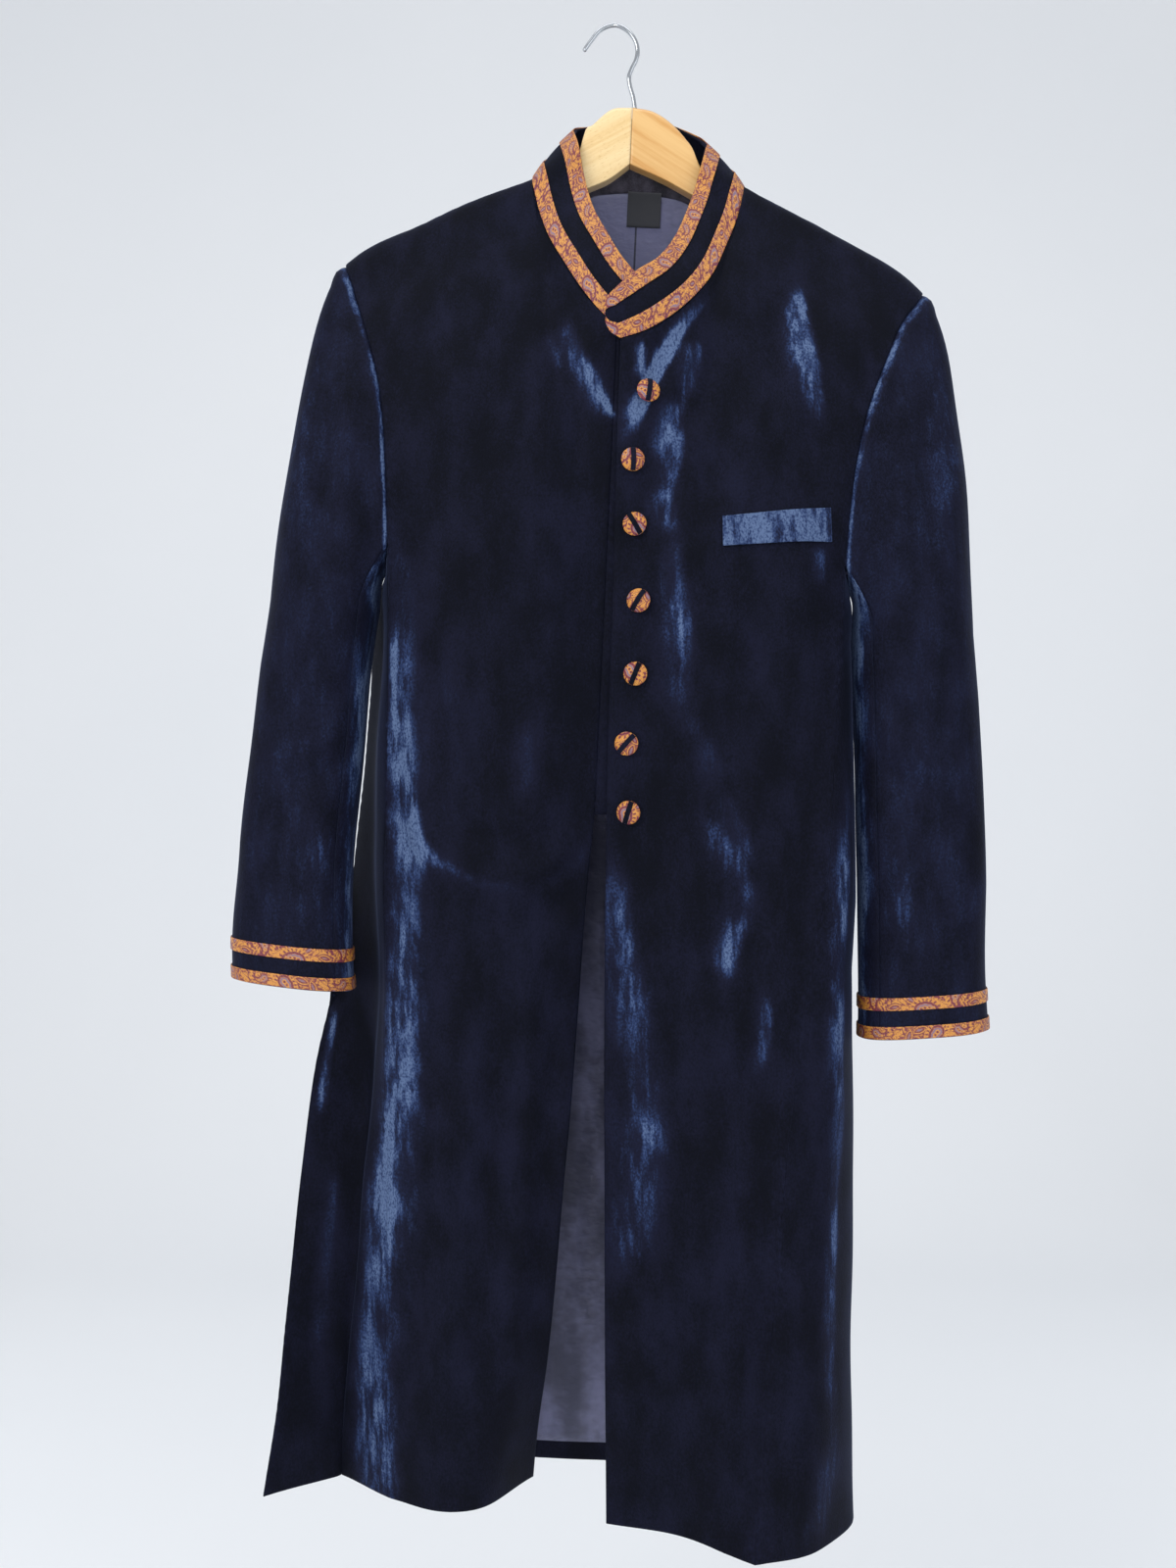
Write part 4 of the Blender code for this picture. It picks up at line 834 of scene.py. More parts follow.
# folds of the hung cloth
BODY_FOLDS = strokes([
    (50, -262, -4, -362, 8, 8, 2.4), (36, -268, 0, -345, 5, 6, 1.8), (22, -268, 14, -335, 2, 6, -1.8),
    (66, -262, 50, -345, 4, 8, -1.8), (46, -333, 40, -437, 3, 10, 2), (40, -437, 49, -555, -5, 11, 2),
    (72, -300, 66, -420, 2, 12, -1.8), (130, -229, 142, -340, -4, 14, 2.2),
    (110, -235, 118, -335, 0, 12, -2), (160, -300, 164, -420, 0, 9, 1.2),
    (139, -424, 133, -500, 0, 12, 1.8), (100, -440, 96, -560, 4, 14, -1.4),
    (83, -640, 97, -765, 8, 12, 3), (60, -640, 72, -775, 6, 12, -2.4), (130, -750, 124, -850, 0, 13, 2.6),
    (108, -745, 102, -870, 4, 12, -2.2), (6, -690, 32, -805, -6, 10, 2.2),
    (24, -855, 28, -990, 16, 14, 2.2), (58, -820, 56, -1165, 4, 16, -2.6),
    (92, -860, 86, -1170, 5, 18, 2.8), (118, -880, 112, -1170, 0, 14, -2),
    (150, -610, 158, -930, -6, 12, -2), (166, -612, 180, -1050, 6, 10, 2),
    (168, -1060, 172, -1175, 0, 14, 1.8), (-42, -268, -12, -338, 0, 8, 2.6),
    (-62, -272, -34, -385, 4, 9, -2.2), (-80, -255, -64, -430, 6, 13, 1.8),
    (-118, -240, -104, -420, 4, 15, -1.6), (-172, -500, -141, -699, 8, 11, 2.6),
    (-150, -500, -122, -650, 6, 12, -2.2), (-164, -652, -135, -704, 0, 6, -2.2),
    (-143, -661, -14, -652, -36, 10, 3.2), (-126, -640, -22, -634, -26, 10, -2),
    (-122, -712, -12, -690, -24, 11, -2.4), (-124, -503, -116, -660, 0, 13, 1.4),
    (-65, -560, -62, -640, 0, 11, 1.2), (-158, -740, -156, -1135, 8, 14, 2.6),
    (-134, -742, -130, -1150, 4, 15, -2.8), (-104, -722, -110, -1165, 8, 18, 2.8),
    (-80, -730, -82, -1170, 4, 16, -2.8), (-56, -735, -58, -1165, 4, 14, 2.2),
    (-36, -760, -44, -1150, 3, 11, -1.6), (-214, -793, -222, -905, 4, 9, 1.6),
    (-196, -980, -204, -1150, 0, 11, 1.6),
], [
    (-205, -236, -122, -330, 12, 12, 2), (206, -236, 126, -342, -12, 12, 2),
    (-152, -226, -88, -300, 8, 11, -1.6), (154, -228, 92, -312, -8, 11, -1.6),
    (-44, -140, -54, -255, 0, 9, 1.3), (42, -142, 52, -260, 0, 9, 1.3),
    (-172, -480, -60, -562, 14, 13, 2), (170, -470, 64, -550, -12, 13, 2),
    (-160, -500, -186, -1150, -10, 15, 2.2), (-130, -640, -152, -1160, 4, 14, -2.4),
    (-101, -540, -122, -1165, -10, 20, 2.8), (-66, -690, -88, -1160, 4, 16, -2.4),
    (-46, -560, -40, -1060, 8, 14, 2.2), (-8, -720, -22, -1160, 4, 13, -1.8),
    (30, -600, 16, -1165, -8, 18, 2.4), (58, -660, 50, -1160, 6, 13, -2.4),
    (82, -530, 106, -1165, 10, 17, 2.8), (118, -640, 140, -1160, 4, 16, -2.6),
    (160, -560, 170, -1150, 8, 14, 2.4), (-13, -840, 6, -852, 0, 4.5, -2.6),
    (-17, -934, 4, -946, 1, 4.5, -2.6), (-18, -1041, 5, -1056, 1, 5, -2.6),
])
SLEEVE_FOLDS_LEFT = strokes([
    (208, -290, 218, -430, 4, 9, 1.8), (232, -270, 256, -470, 8, 12, 2.2),
    (222, -300, 238, -470, 4, 9, -1.8), (196, -530, 268, -566, -8, 10, -1.4),
    (198, -556, 280, -600, -10, 11, 1.4), (204, -590, 262, -618, -6, 8, -1.6),
    (220, -640, 230, -755, 4, 11, 1.8), (250, -620, 262, -760, 4, 11, -1.8),
    (282, -480, 292, -740, 4, 10, 1.5),
], [
    (216, -300, 226, -470, -4, 11, 2), (246, -290, 262, -480, 6, 11, -1.8),
    (202, -540, 274, -520, 10, 9, -2.2), (202, -572, 280, -548, 10, 10, 2.4),
    (212, -620, 226, -760, 4, 12, 2), (256, -600, 268, -760, 0, 12, -1.8),
])
SLEEVE_FOLDS_RIGHT = strokes([
    (-212, -290, -216, -440, -4, 9, 1.6), (-234, -270, -250, -480, -8, 12, 2),
    (-226, -310, -232, -470, -4, 9, -1.6), (-200, -548, -266, -572, 8, 10, -1.4),
    (-204, -575, -274, -610, 10, 11, 1.4), (-206, -606, -250, -628, 6, 8, -1.6),
    (-216, -650, -220, -745, -4, 11, 1.6), (-246, -630, -254, -745, -4, 11, -1.8),
    (-272, -480, -284, -730, -4, 10, 1.5),
], [
    (-214, -300, -222, -470, 4, 11, 2), (-242, -290, -254, -480, -6, 11, -1.8),
    (-204, -534, -266, -520, -10, 9, -2.2), (-204, -566, -272, -546, -10, 10, 2.2),
    (-210, -610, -222, -745, -4, 12, 1.8), (-250, -600, -260, -745, 0, 12, -1.6),
])
# painted sheen: lighter colour laid where the pile lies so that it catches light
BODY_PAINTED_SHEEN = strokes([
    (-53, -255, -31, -305, -3, 8, 0.8), (-36, -293, -12, -337, 0, 8, 0.8),
    (-27, -312, -8, -339, 0, 2.2, 0.9), (-65, -269, -54, -300, 0, 4, 0.3), (7, -278, 6, -309, 1, 3.5, 1.3),
    (57, -234, -4, -359, -4, 5, 1.2), (41, -262, 12, -314, -2, 3, 1.2), (35, -278, 5, -352, -3, 3, 1),
    (20, -312, -2, -342, 0, 5, 0.55), (50, -267, 42, -322, 2, 9, 0.8), (45, -316, 27, -375, -5, 8, 0.6),
    (40, -335, 31, -397, 3, 7, 0.6), (32, -386, 40, -426, -3, 10, 0.55), (39, -423, 49, -515, -2, 10, 0.45),
    (48, -467, 49, -572, 2, 10, 0.42), (50, -557, 83, -617, 4, 9, 0.3), (77, -612, 112, -680, 3, 9, 0.32),
    (-172, -420, -158, -560, 4, 12, 0.3), (-172, -506, -150, -640, 2, 18, 0.4),
    (130, -215, 143, -303, -2, 8, 1.3), (136, -248, 147, -332, 0, 9, 0.9),
    (121, -230, 129, -274, 0, 3, 0.4), (152, -426, 151, -462, 0, 7, 0.45),
    (89, -368, 86, -435, 0, 12, 0.12), (-165, -634, -155, -703, 2, 8, 0.55),
    (-166, -1010, -162, -660, -7, 17, 0.6), (-166, -1250, -162, -870, 7, 17, 0.58),
    (-148, -760, -146, -925, 0, 12, 0.3), (-157, -1085, -144, -1200, 0, 13, 0.3),
    (-156, -920, -154, -1010, 0, 10, 0.2), (-147, -690, -150, -790, 0, 10, 0.25),
    (65, -634, 115, -712, 6, 10, 0.4), (107, -709, 94, -763, -2, 8, 0.85),
    (125, -767, 121, -831, 3, 5, 0.6), (7, -668, 31, -800, -3, 11, 0.55), (24, -740, 45, -915, 3, 20, 0.44),
    (45, -860, 26, -1000, 5, 18, 0.44), (178, -600, 188, -905, -2, 7, 0.7),
    (186, -860, 195, -1130, -4, 6, 0.65), (194, -1109, 173, -1186, 6, 15, 0.3),
    (-173, -500, -168, -600, 2, 6, 0.85), (-160, -560, -152, -640, 0, 10, 0.35),
    (-166, -595, -141, -700, 6, 8, 0.85), (-148, -640, -120, -690, -6, 5, 0.6),
    (-141, -664, -56, -698, -12, 5, 0.3), (-56, -698, -12, -656, -8, 5, 0.22),
    (-124, -503, -116, -682, 0, 13, 0.16), (-65, -568, -62, -642, 0, 9, 0.2),
    (-100, -760, -108, -1150, 6, 8, 0.1), (-218, -793, -225, -903, 4, 3, 0.9),
    (-205, -900, -214, -1120, 0, 4, 0.4),
], [
    (-196, -248, -130, -322, 12, 9, 0.6), (198, -248, 134, -332, -12, 9, 0.7),
    (-170, -482, -70, -555, 14, 9, 0.5), (168, -474, 74, -545, -12, 9, 0.6),
    (-158, -500, -181, -815, -10, 12, 0.7), (-183, -860, -196, -1150, 3, 7, 0.55),
    (-104, -700, -121, -1010, -9, 15, 0.6), (-60, -560, -48, -700, 6, 7, 0.35),
    (-22, -905, -34, -1160, 8, 10, 0.45), (44, -640, 30, -860, -7, 9, 0.5),
    (92, -545, 74, -740, 9, 13, 0.65), (102, -820, 119, -1145, -8, 11, 0.7),
    (163, -590, 171, -905, 7, 10, 0.6), (150, -990, 172, -1150, 0, 6, 0.4),
    (-78, -250, -52, -420, 6, 14, 0.4), (66, -235, 92, -350, -5, 17, 0.45),
])
SLEEVE_PAINTED_SHEEN_LEFT = strokes([
    (238, -262, 256, -420, 6, 10, 0.12), (192, -620, 196, -780, 0, 6, 0.55),
    (204, -562, 272, -598, -10, 6, 0.08), (224, -660, 230, -750, 4, 8, 0.25),
], [
    (218, -310, 226, -460, -4, 9, 0.7), (208, -574, 276, -552, 10, 7, 0.7),
    (214, -630, 226, -750, 4, 9, 0.7),
])
SLEEVE_PAINTED_SHEEN_RIGHT = strokes([
    (-238, -262, -250, -420, -6, 10, 0.12), (-196, -770, -193, -620, 0, 6, 0.55),
    (-208, -578, -268, -606, 10, 6, 0.08), (-218, -660, -220, -740, -4, 8, 0.25),
], [
    (-216, -310, -222, -460, 4, 9, 0.7), (-208, -568, -266, -550, -10, 7, 0.7),
    (-212, -620, -222, -740, -4, 9, 0.7),
])
# how far the side panels stand out towards the sleeves that hang on them
SIDE_FILL = table(
    "z left right", (-445, 0, 0), (-460, 3.4, 1.8), (-470, 6.3, 5.2), (-480, 7, 6.2), (-500, 6, 5.8),
    (-560, 6.6, 7), (-585, 6.9, 7.4), (-640, 5.4, 7), (-680, 5.2, 5.6), (-700, 4.8, 4), (-725, 2.6, 2),
    (-755, 0, 0),
)
OVERRUN, TAPER = 0.12, 0.34  # a stroke's reach past its ends and its taper, of its length
FOLD_FADE = 12.0       # folds die out this near to a seam whose two sides differ
STAND_STEADY = 22.0    # how far from the buttons' edge the fronts stay smooth
PUCKER = 0.30          # rise of the small gathers that stitching makes
PUCKER_PITCH = 8.5
PUCKER_REACH = 9.0
BILLOW = 1.1           # slow waviness of the whole cloth
SLEEVE_SHEEN_LIFT = 0.2      # painted sheen laid over the whole of each sleeve
SHEEN_SIDES = (0.6, 1.35)  # painted sheen ends sharply at a crease and fades on its other side
ROPE = 2.0             # rise of the sleeve's head over the armhole seam
SLOPE_LIT, GATHERS_LIT, MOST_LIT = 0.35, 0.2, 1.5  # painted sheen on the folds' slopes and on the gathers, and the most painted sheen of all


def stroke_sum(drawn, points, normals, sides=(1.0, 1.0)):
    """Sum of soft strokes at points, each weighed by the side that a point faces.

    A stroke is a parabola from (x0, z0) to (x1, z1) that bows by bend.  The
    distance to it is read across its chord, less the bow there, and its
    section is a bell of the given half width with tapered ends.  sides
    narrows or widens the bell on either side of the stroke.
    """
    total = np.zeros(points.shape[:-1])
    for face, x0, z0, x1, z1, bend, width, size in rows_of(drawn, " ".join(drawn)):
        chord = np.array([x1 - x0, z1 - z0])
        length = np.linalg.norm(chord)
        chord /= length
        dx, dz = points[..., 0] - x0, points[..., 2] - z0
        t = (dx * chord[0] + dz * chord[1]) / length
        inside = np.clip(t, 0.0, 1.0)
        across = dz * chord[0] - dx * chord[1] - 4 * bend * inside * (1 - inside)
        past = (t - inside) * length
        taper = np.clip(np.minimum(t + OVERRUN, 1 + OVERRUN - t) / TAPER, 0, 1) ** 2
        facing = np.clip(face * normals[..., 1] * 2.2 + 0.1, 0, 1)
        across = across / np.where(across > 0, *sides)
        total += size * np.exp(-(across ** 2 + past ** 2) / width ** 2) * taper * facing
    return total


def billow(points):
    """Slow irregular waves through space, alike on both sides of every seam."""
    x, y, z = points[..., 0], points[..., 1], points[..., 2]
    wave = np.sin(x / 23 + 1.3 * np.sin(z / 71) + y / 40) * np.cos(z / 96 + x / 57)
    wave += 0.6 * np.sin(x / 13.5 - z / 61 + 1.7) * np.sin(z / 43 + y / 31)
    return wave + 0.35 * np.sin(z / 19 + x / 33 + 0.6) * np.sin(x / 17 - 0.4)


def pucker(points):
    """Small gathers along a seam, by place alone so that both sides agree."""
    x, y, z = points[..., 0], points[..., 1], points[..., 2]
    run = (z + 0.8 * x + 0.5 * y) / PUCKER_PITCH * 2 * math.pi
    return np.sin(run + 1.9 * np.sin(z / 27)) * (0.65 + 0.35 * np.sin(z / 41 + x / 23))


def edge_distances(sheet):
    """Distance of each point from its sheet's four edges: start, end, top, bottom."""
    across, down = arc_lengths(sheet["grid"], 0), arc_lengths(sheet["grid"], 1)
    return {"start": across, "end": across[-1:] - across, "top": down, "bottom": down[:, -1:] - down}


def drape(form):
    """Lay folds, waves and gathers on every panel and paint its sheen: lighter colour where the pile
    catches light.
    """
    relief = {name: (BODY_FOLDS, BODY_PAINTED_SHEEN) for name in PLAIN_SEAMS}
    relief["sleeve_left"] = SLEEVE_FOLDS_LEFT, SLEEVE_PAINTED_SHEEN_LEFT
    relief["sleeve_right"] = SLEEVE_FOLDS_RIGHT, SLEEVE_PAINTED_SHEEN_RIGHT
    for name, (folds, nap) in relief.items():
        sheet = form[name]
        grid, normals = sheet["grid"], sheet["normals"]
        edges = edge_distances(sheet)
        rise = stroke_sum(folds, grid, normals)
        for edge in PLAIN_SEAMS.get(name, ("top",)):
            rise *= np.clip(edges[edge] / FOLD_FADE, 0, 1) ** 1.5
        if name in ("front_left", "front_right", "stand_strip"):
            steady = edges["start"] if name != "stand_strip" else np.zeros_like(rise)
            # smooth beside the buttons, down to 30 mm past the stand's end
            upper = np.clip((grid[..., 2] - STAND_END_Z + 30) / 60, 0, 1)
            rise *= 1 - upper * (1 - np.clip(steady / STAND_STEADY - 0.35, 0, 1))
        rise += BILLOW * billow(grid)
        sewn = [edges[edge] for edge in SEWN.get(name, ("top",))]
        near = np.exp(-(np.minimum.reduce(sewn) / PUCKER_REACH) ** 2)
        rise += PUCKER * pucker(grid) * near
        slope = np.gradient(rise, axis=0) / np.maximum(np.gradient(arc_lengths(grid, 0), axis=0), 0.2)
        lit = stroke_sum(nap, grid, normals, SHEEN_SIDES)
        if name.startswith("sleeve"):
            rise += ROPE * rope(edges["top"], grid, sheet["levels"][0])
            # painted sheen over the whole sleeve and painted highlights on its rims
            lit += SLEEVE_SHEEN_LIFT + lit_rims(sheet, edges["top"])
        if name.startswith("side"):
            share = edges["start"] / (edges["start"] + edges["end"])
            fill = np.interp(-grid[..., 2], -SIDE_FILL["z"], SIDE_FILL[name[5:]])
            rise += fill * np.sin(math.pi * share) ** 0.8
        # painted sheen: the strokes' patches, a highlight on every fold's slope and on the gathers' crests
        gathers = near * np.clip(pucker(grid), 0, 1)
        sheet["nap"] = np.clip(lit + np.abs(slope) * SLOPE_LIT + GATHERS_LIT * gathers, 0, MOST_LIT)
        sheet["grid"] = grid + sheet["offsets"] * rise[..., None]


def rope(from_armhole, grid, underarm):
    """Roll of the sleeve's head just beyond the armhole, down to the underarm."""
    high = rising(underarm + 20, underarm + 140, grid[..., 2])
    groove = np.exp(-(from_armhole / 3.5) ** 2)
    return (np.exp(-((from_armhole - 11) / 7.0) ** 2) - 0.8 * groove) * high


def lit_rims(sheet, from_armhole):
    """Painted highlight on the turn of the armhole and where the sleeve turns in towards the body."""
    grid, ahead = sheet["grid"], sheet["normals"][..., 1]
    facing = np.clip(0.9 - 2 * ahead, 0, 1)
    inward = sheet["normals"][..., 0] * grid[..., 0] < 0
    level = 0.75 + 0.25 * np.sin(grid[..., 2] / 31 + grid[..., 0] / 40)
    turned = np.exp(-((ahead + 0.2) / 0.3) ** 2) * inward * np.clip(from_armhole / 12 - 0.4, 0, 1)
    return (np.exp(-((from_armhole - 3.5) / 2.6) ** 2) * facing + turned) * level


# edges of each body panel where the folds stop, and those that are sewn
PLAIN_SEAMS = {
    "front_left": ("top",), "front_right": ("top",), "side_left": ("top", "end"),
    "side_right": ("top", "end"), "back": ("start", "end", "top"), "stand_strip": (),
}
SEWN = {
    "front_left": ("end", "top"), "front_right": ("end", "top"), "side_left": ("start", "end", "top"),
    "side_right": ("start", "end", "top"), "back": ("start", "end", "top"), "stand_strip": ("end",),
}


# ---- cloth pieces

RIM_SHARE = 0.42       # a turned edge's thickness at its very rim, of the cloth's
EDGE_ROUND = 1.2       # reach of the rounding, in thicknesses
LEAST_FLAT = 0.01      # metres; the narrowest strip that a sheet's flat cut is taken as
INNER_SHEEN = 0.5        # painted sheen inside the wall, as a share of that outside
FORM_STEP = 4.5        # mm from point to point of the panels
CACHE = {}             # the form and the materials, each made once


def draped_form():
    """The whole coat's form with its folds, worked out once."""
    if "form" not in CACHE:
        CACHE["form"] = coat_form(FORM_STEP)
        drape(CACHE["form"])
    return CACHE["form"]


def quads(n, m, turn, closed=False):
    """Faces of two like grids of n by m points with rims between them."""
    index = np.arange(n * m).reshape(n, m)
    if closed:
        index = np.concatenate([index, index[:1]])
    a, b = index[:-1, :-1].ravel(), index[1:, :-1].ravel()
    c, d = index[1:, 1:].ravel(), index[:-1, 1:].ravel()
    skin = np.stack([a, d, c, b], 1)
    faces = [skin, skin[:, ::-1] + n * m]
    rims = [index[:, 0], index[:, -1][::-1]]
    if not closed:
        rims += [index[0][::-1], index[-1]]
    for rim in rims:
        p, q = rim[:-1], rim[1:]
        faces.append(np.stack([p, q, q + n * m, p + n * m], 1))
    return np.concatenate(faces)[:, ::turn].tolist()


def new_piece(name, points, faces, made="", lined=False, **attributes):
    """A smooth mesh object of the body from points in the coat's millimetres.

    Its name is its node's, with a word for its material; made names another
    finish, and a lined piece has the lining's as its second.  Each attribute
    is one number a point, or three for a vector.
    """
    node, word = name.rsplit("_", 1)
    mesh = bpy.data.meshes.new(name)
    mesh.from_pydata(placed(points).reshape(-1, 3).tolist(), [], faces)
    for key, values in attributes.items():
        kind, field = ("FLOAT", "value") if values.ndim == 1 else ("FLOAT_VECTOR", "vector")
        mesh.attributes.new(key, kind, "POINT").data.foreach_set(field, values.astype(np.float32).ravel())
    for kind in [made or word] + ["satin"] * lined:
        mesh.materials.append(finish_of(kind))
    mesh.update()
    mesh.shade_smooth()
    piece = bpy.data.objects.new(name, mesh)
    bpy.context.scene.collection.objects.link(piece)
    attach(piece, BODY)
    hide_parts(node)
    return piece


def wall(sheet, thick, out=0.0, closed=False):
    """Outer and inner points of a sheet's wall, its edges rounded.

    The half thickness follows a quarter circle within a reach of the edges.
    """
    grid, offsets = sheet["grid"], sheet["offsets"]
    edges = edge_distances(sheet)
    open_edges = ("top", "bottom") if closed else edges
    least = np.minimum.reduce([np.broadcast_to(edges[edge], grid.shape[:2]) for edge in open_edges])
    q = np.clip(least / (EDGE_ROUND * thick), 0, 1)
    half = thick / 2 * (RIM_SHARE + (1 - RIM_SHARE) * np.sqrt(1 - (1 - q) ** 2))
    middle = grid + offsets * (out - thick / 2)
    swell = offsets * half[..., None]
    return np.stack([middle + swell, middle - swell])


def cloth(name, sheet, thick, out=0.0, closed=False, facing=None, made=""):
    """A piece of cloth from a sheet.

    facing gives, edge by edge, how wide the outer material is turned inside;
    what lies further in is lined.
    """
    if closed:
        sheet = {key: value[:-1] if isinstance(value, np.ndarray) else value
                 for key, value in sheet.items()}
    walls = wall(sheet, thick, out, closed)
    n, m = walls.shape[1:3]
    faces = quads(n, m, sheet["turn"], closed)
    across, down = arc_lengths(sheet["grid"], 0), arc_lengths(sheet["grid"], 1)
    place = np.stack([across, down, np.zeros_like(down)], axis=-1).reshape(-1, 3)
    place = np.concatenate([place, place + (0, 0, 1)])
    nap = sheet.get("nap", np.zeros((n, m))).ravel()
    extra = {"nap": np.concatenate([nap, nap * INNER_SHEEN])}
    if "seam" in sheet:
        extra["seam"] = np.concatenate([sheet["seam"].ravel()] * 2)
    if "figure" in sheet:
        figure = sheet["figure"].reshape(-1, 3)
        extra = {"figure": np.concatenate([figure, figure])}
    piece = new_piece(name, walls, faces, made, facing is not None, weave=place, **extra)
    if facing is not None:
        lined = inside_lining(sheet, facing)
        cells = (n if closed else n - 1) * (m - 1)
        index = np.zeros(len(faces), dtype=np.int32)
        index[cells:2 * cells] = lined[:, :m - 1].ravel() if closed else lined[:-1, :-1].ravel()
        piece.data.polygons.foreach_set("material_index", index)
    declare(sheet["grid"], closed)


def inside_lining(sheet, facing):
    """Which points lie further from the edges than the facing turned inside there."""
    edges = edge_distances(sheet)
    lined = np.ones(sheet["grid"].shape[:2], dtype=bool)
    for edge, width in facing.items():
        lined &= edges[edge] > width
    return lined


def declare(grid, closed):
    """Work out the flat cut of a sheet: its widest and longest run and its area, which go no further."""
    ring = np.concatenate([grid, grid[:1]]) if closed else grid
    width = arc_lengths(ring, 0)[-1].max()
    length = arc_lengths(ring, 1)[:, -1].max()
    one, two = ring[1:, 1:] - ring[:-1, :-1], ring[1:, :-1] - ring[:-1, 1:]
    area = np.linalg.norm(np.cross(one, two), axis=-1).sum() / 2
    flat = (max(width * MM, LEAST_FLAT), max(length * MM, LEAST_FLAT))
    area = min(area * MM * MM, flat[0] * flat[1])


# ---- brocade

# One repeat of the woven figure, in mm before it is scaled.  size scales a
# form, turn is in degrees and flip mirrors a paisley.
REPEAT = (52.0, 26.0)
FIGURE_SCALE = 1.2
PAISLEYS = table(
    "x y turn size flip",
    (9, 7, 35, 1.25, 1), (33, 18, 215, 1.3, -1), (48, 6, 120, 0.8, 1),
)
# centres and radii of the circles that sweep a paisley's body, of size 1
PAISLEY_SPINE = table(
    "x y radius",
    (0, 0, 3.1), (1.8, 0.5, 2.9), (3.5, 1.6, 2.4), (4.8, 3.2, 1.8), (5.3, 5.1, 1.3),
    (4.8, 6.8, 0.8), (3.6, 8, 0.4),
)
LEAVES = table(
    "x y turn long wide",
    (20, 5, 20, 5.0, 2.4), (27, 9, 75, 4.6, 2.3), (40, 11, 140, 5.0, 2.4), (14, 15, 100, 4.4, 2.1),
    (2, 20, 60, 5.0, 2.4), (50, 16, 15, 4.6, 2.2), (28, 1, 160, 4.2, 2.0), (43, 22, 80, 4.2, 2.1),
)
FLOWERS = table(
    "x y size",
    (27, 14, 3.6), (1, 13, 3.2), (39, 3, 3.4), (11, 23, 3.2), (49, 24, 2.8), (18, 11, 2.6),
)
FIGURE_EDGE = 0.22     # half width over which one thread colour gives way to another


def banded(values, centre, half):
    """1 within half of a centre value, softly falling to 0 outside it."""
    return 1 - rising(half - FIGURE_EDGE / 2, half + FIGURE_EDGE, np.abs(values - centre))


def from_motif(u, v, x, y, turn):
    """Places about the nearest repeat of a motif, turned into its own axes."""
    du = (u - x + REPEAT[0] / 2) % REPEAT[0] - REPEAT[0] / 2
    dv = (v - y + REPEAT[1] / 2) % REPEAT[1] - REPEAT[1] / 2
    c, s = math.cos(math.radians(turn)), math.sin(math.radians(turn))
    return du * c + dv * s, dv * c - du * s


def brocade_figure(u, v):
    """Shares of maroon and of mauve thread over the gold ground, and its relief.

    Scrolls are contour lines of two crossed waves; paisleys, leaves and
    flowers are laid over them by their distance from each form's outline.
    """
    u, v = u / FIGURE_SCALE, v / FIGURE_SCALE
    a, b = 2 * math.pi * u / REPEAT[0], 2 * math.pi * v / REPEAT[1]
    wave = np.sin(4 * a + 2.2 * np.sin(2 * b) + 1.4 * np.sin(3 * a + b))
    wave += np.sin(5 * b + 2.4 * np.sin(2 * a + 1) + 1.2 * np.sin(4 * a - b))
    maroon = np.maximum(1 - rising(0.16, 0.36, np.abs(wave)), rising(1.25, 1.45, wave))
    mauve = np.zeros_like(wave)
    for x, y, size in rows_of(FLOWERS, "x y size"):
        du, dv = from_motif(u, v, x, y, 0.0)
        radius, angle = np.hypot(du, dv), np.arctan2(dv, du)
        edge = radius - size * (0.72 + 0.28 * np.cos(5 * angle))
        clear = 1 - rising(0.2, 0.8, edge)
        petals = (1 - rising(-0.2, 0.2, edge)) * rising(0.22, 0.42, radius / size)
        maroon = maroon * (1 - clear) + petals * clear
        mauve = mauve * (1 - clear)
    for x, y, turn, long, wide in rows_of(LEAVES, "x y turn long wide"):
        du, dv = from_motif(u, v, x, y, turn)
        share = np.clip(du / long, -1, 1)
        edge = np.abs(dv) - wide * (1 - share ** 2) ** 0.9
        edge = np.where(np.abs(du) > long, np.maximum(edge, np.abs(du) - long), edge)
        clear = 1 - rising(0.5, 1.1, edge)
        heart = 1 - rising(-1.9, -1.5, edge)
        line = banded(edge, 0.35, 0.3) + (1 - rising(-0.95, -0.65, edge)) * (1 - heart)
        maroon = maroon * (1 - clear) + np.clip(line, 0, 1) * clear
        mauve = mauve * (1 - clear) + heart * clear
    for x, y, turn, size, flip in rows_of(PAISLEYS, "x y turn size flip"):
        du, dv = from_motif(u, v, x, y, turn)
        du, dv = du / size, dv / size * flip
        edge, vein = [np.minimum.reduce([np.hypot(du - px, dv - py) - share * r for px, py, r in
                                         rows_of(PAISLEY_SPINE, "x y radius")]) for share in (1.0, 0.3)]
        angle = np.arctan2(dv - 1.2, du - 1.2)
        clear = 1 - rising(2.2, 2.7, edge)
        petals = banded(edge, 1.3, 0.65) * rising(0.1, 0.5, np.cos(17 * angle))
        # a smaller leaf of the same bend lies in the pool, gold round a maroon heart
        drawn = np.clip(petals + banded(edge, -0.1, 0.5) + (1 - rising(-0.4, -0.1, vein)), 0, 1)
        pool = (1 - rising(-0.95, -0.65, edge)) * rising(0.2, 0.5, vein)
        maroon = maroon * (1 - clear) + drawn * clear
        mauve = mauve * (1 - clear) + pool * clear
    relief = 1 - 0.7 * maroon - 0.4 * mauve
    return np.stack([maroon, np.clip(mauve * (1 - maroon), 0, 1), relief], axis=-1)


def even_sheet(sheet, step, row_step):
    """A sheet read again at even steps along and across, in mm."""
    grid = sheet["grid"]
    long = arc_lengths(grid, 0)[:, grid.shape[1] // 2]
    deep = arc_lengths(grid, 1)[grid.shape[0] // 2]
    columns = long[-1] * graded(long[-1], step)
    rows = deep[-1] * graded(deep[-1], row_step)
    return reread(sheet, lambda values: down_columns(deep, spline(long, values, columns), rows))


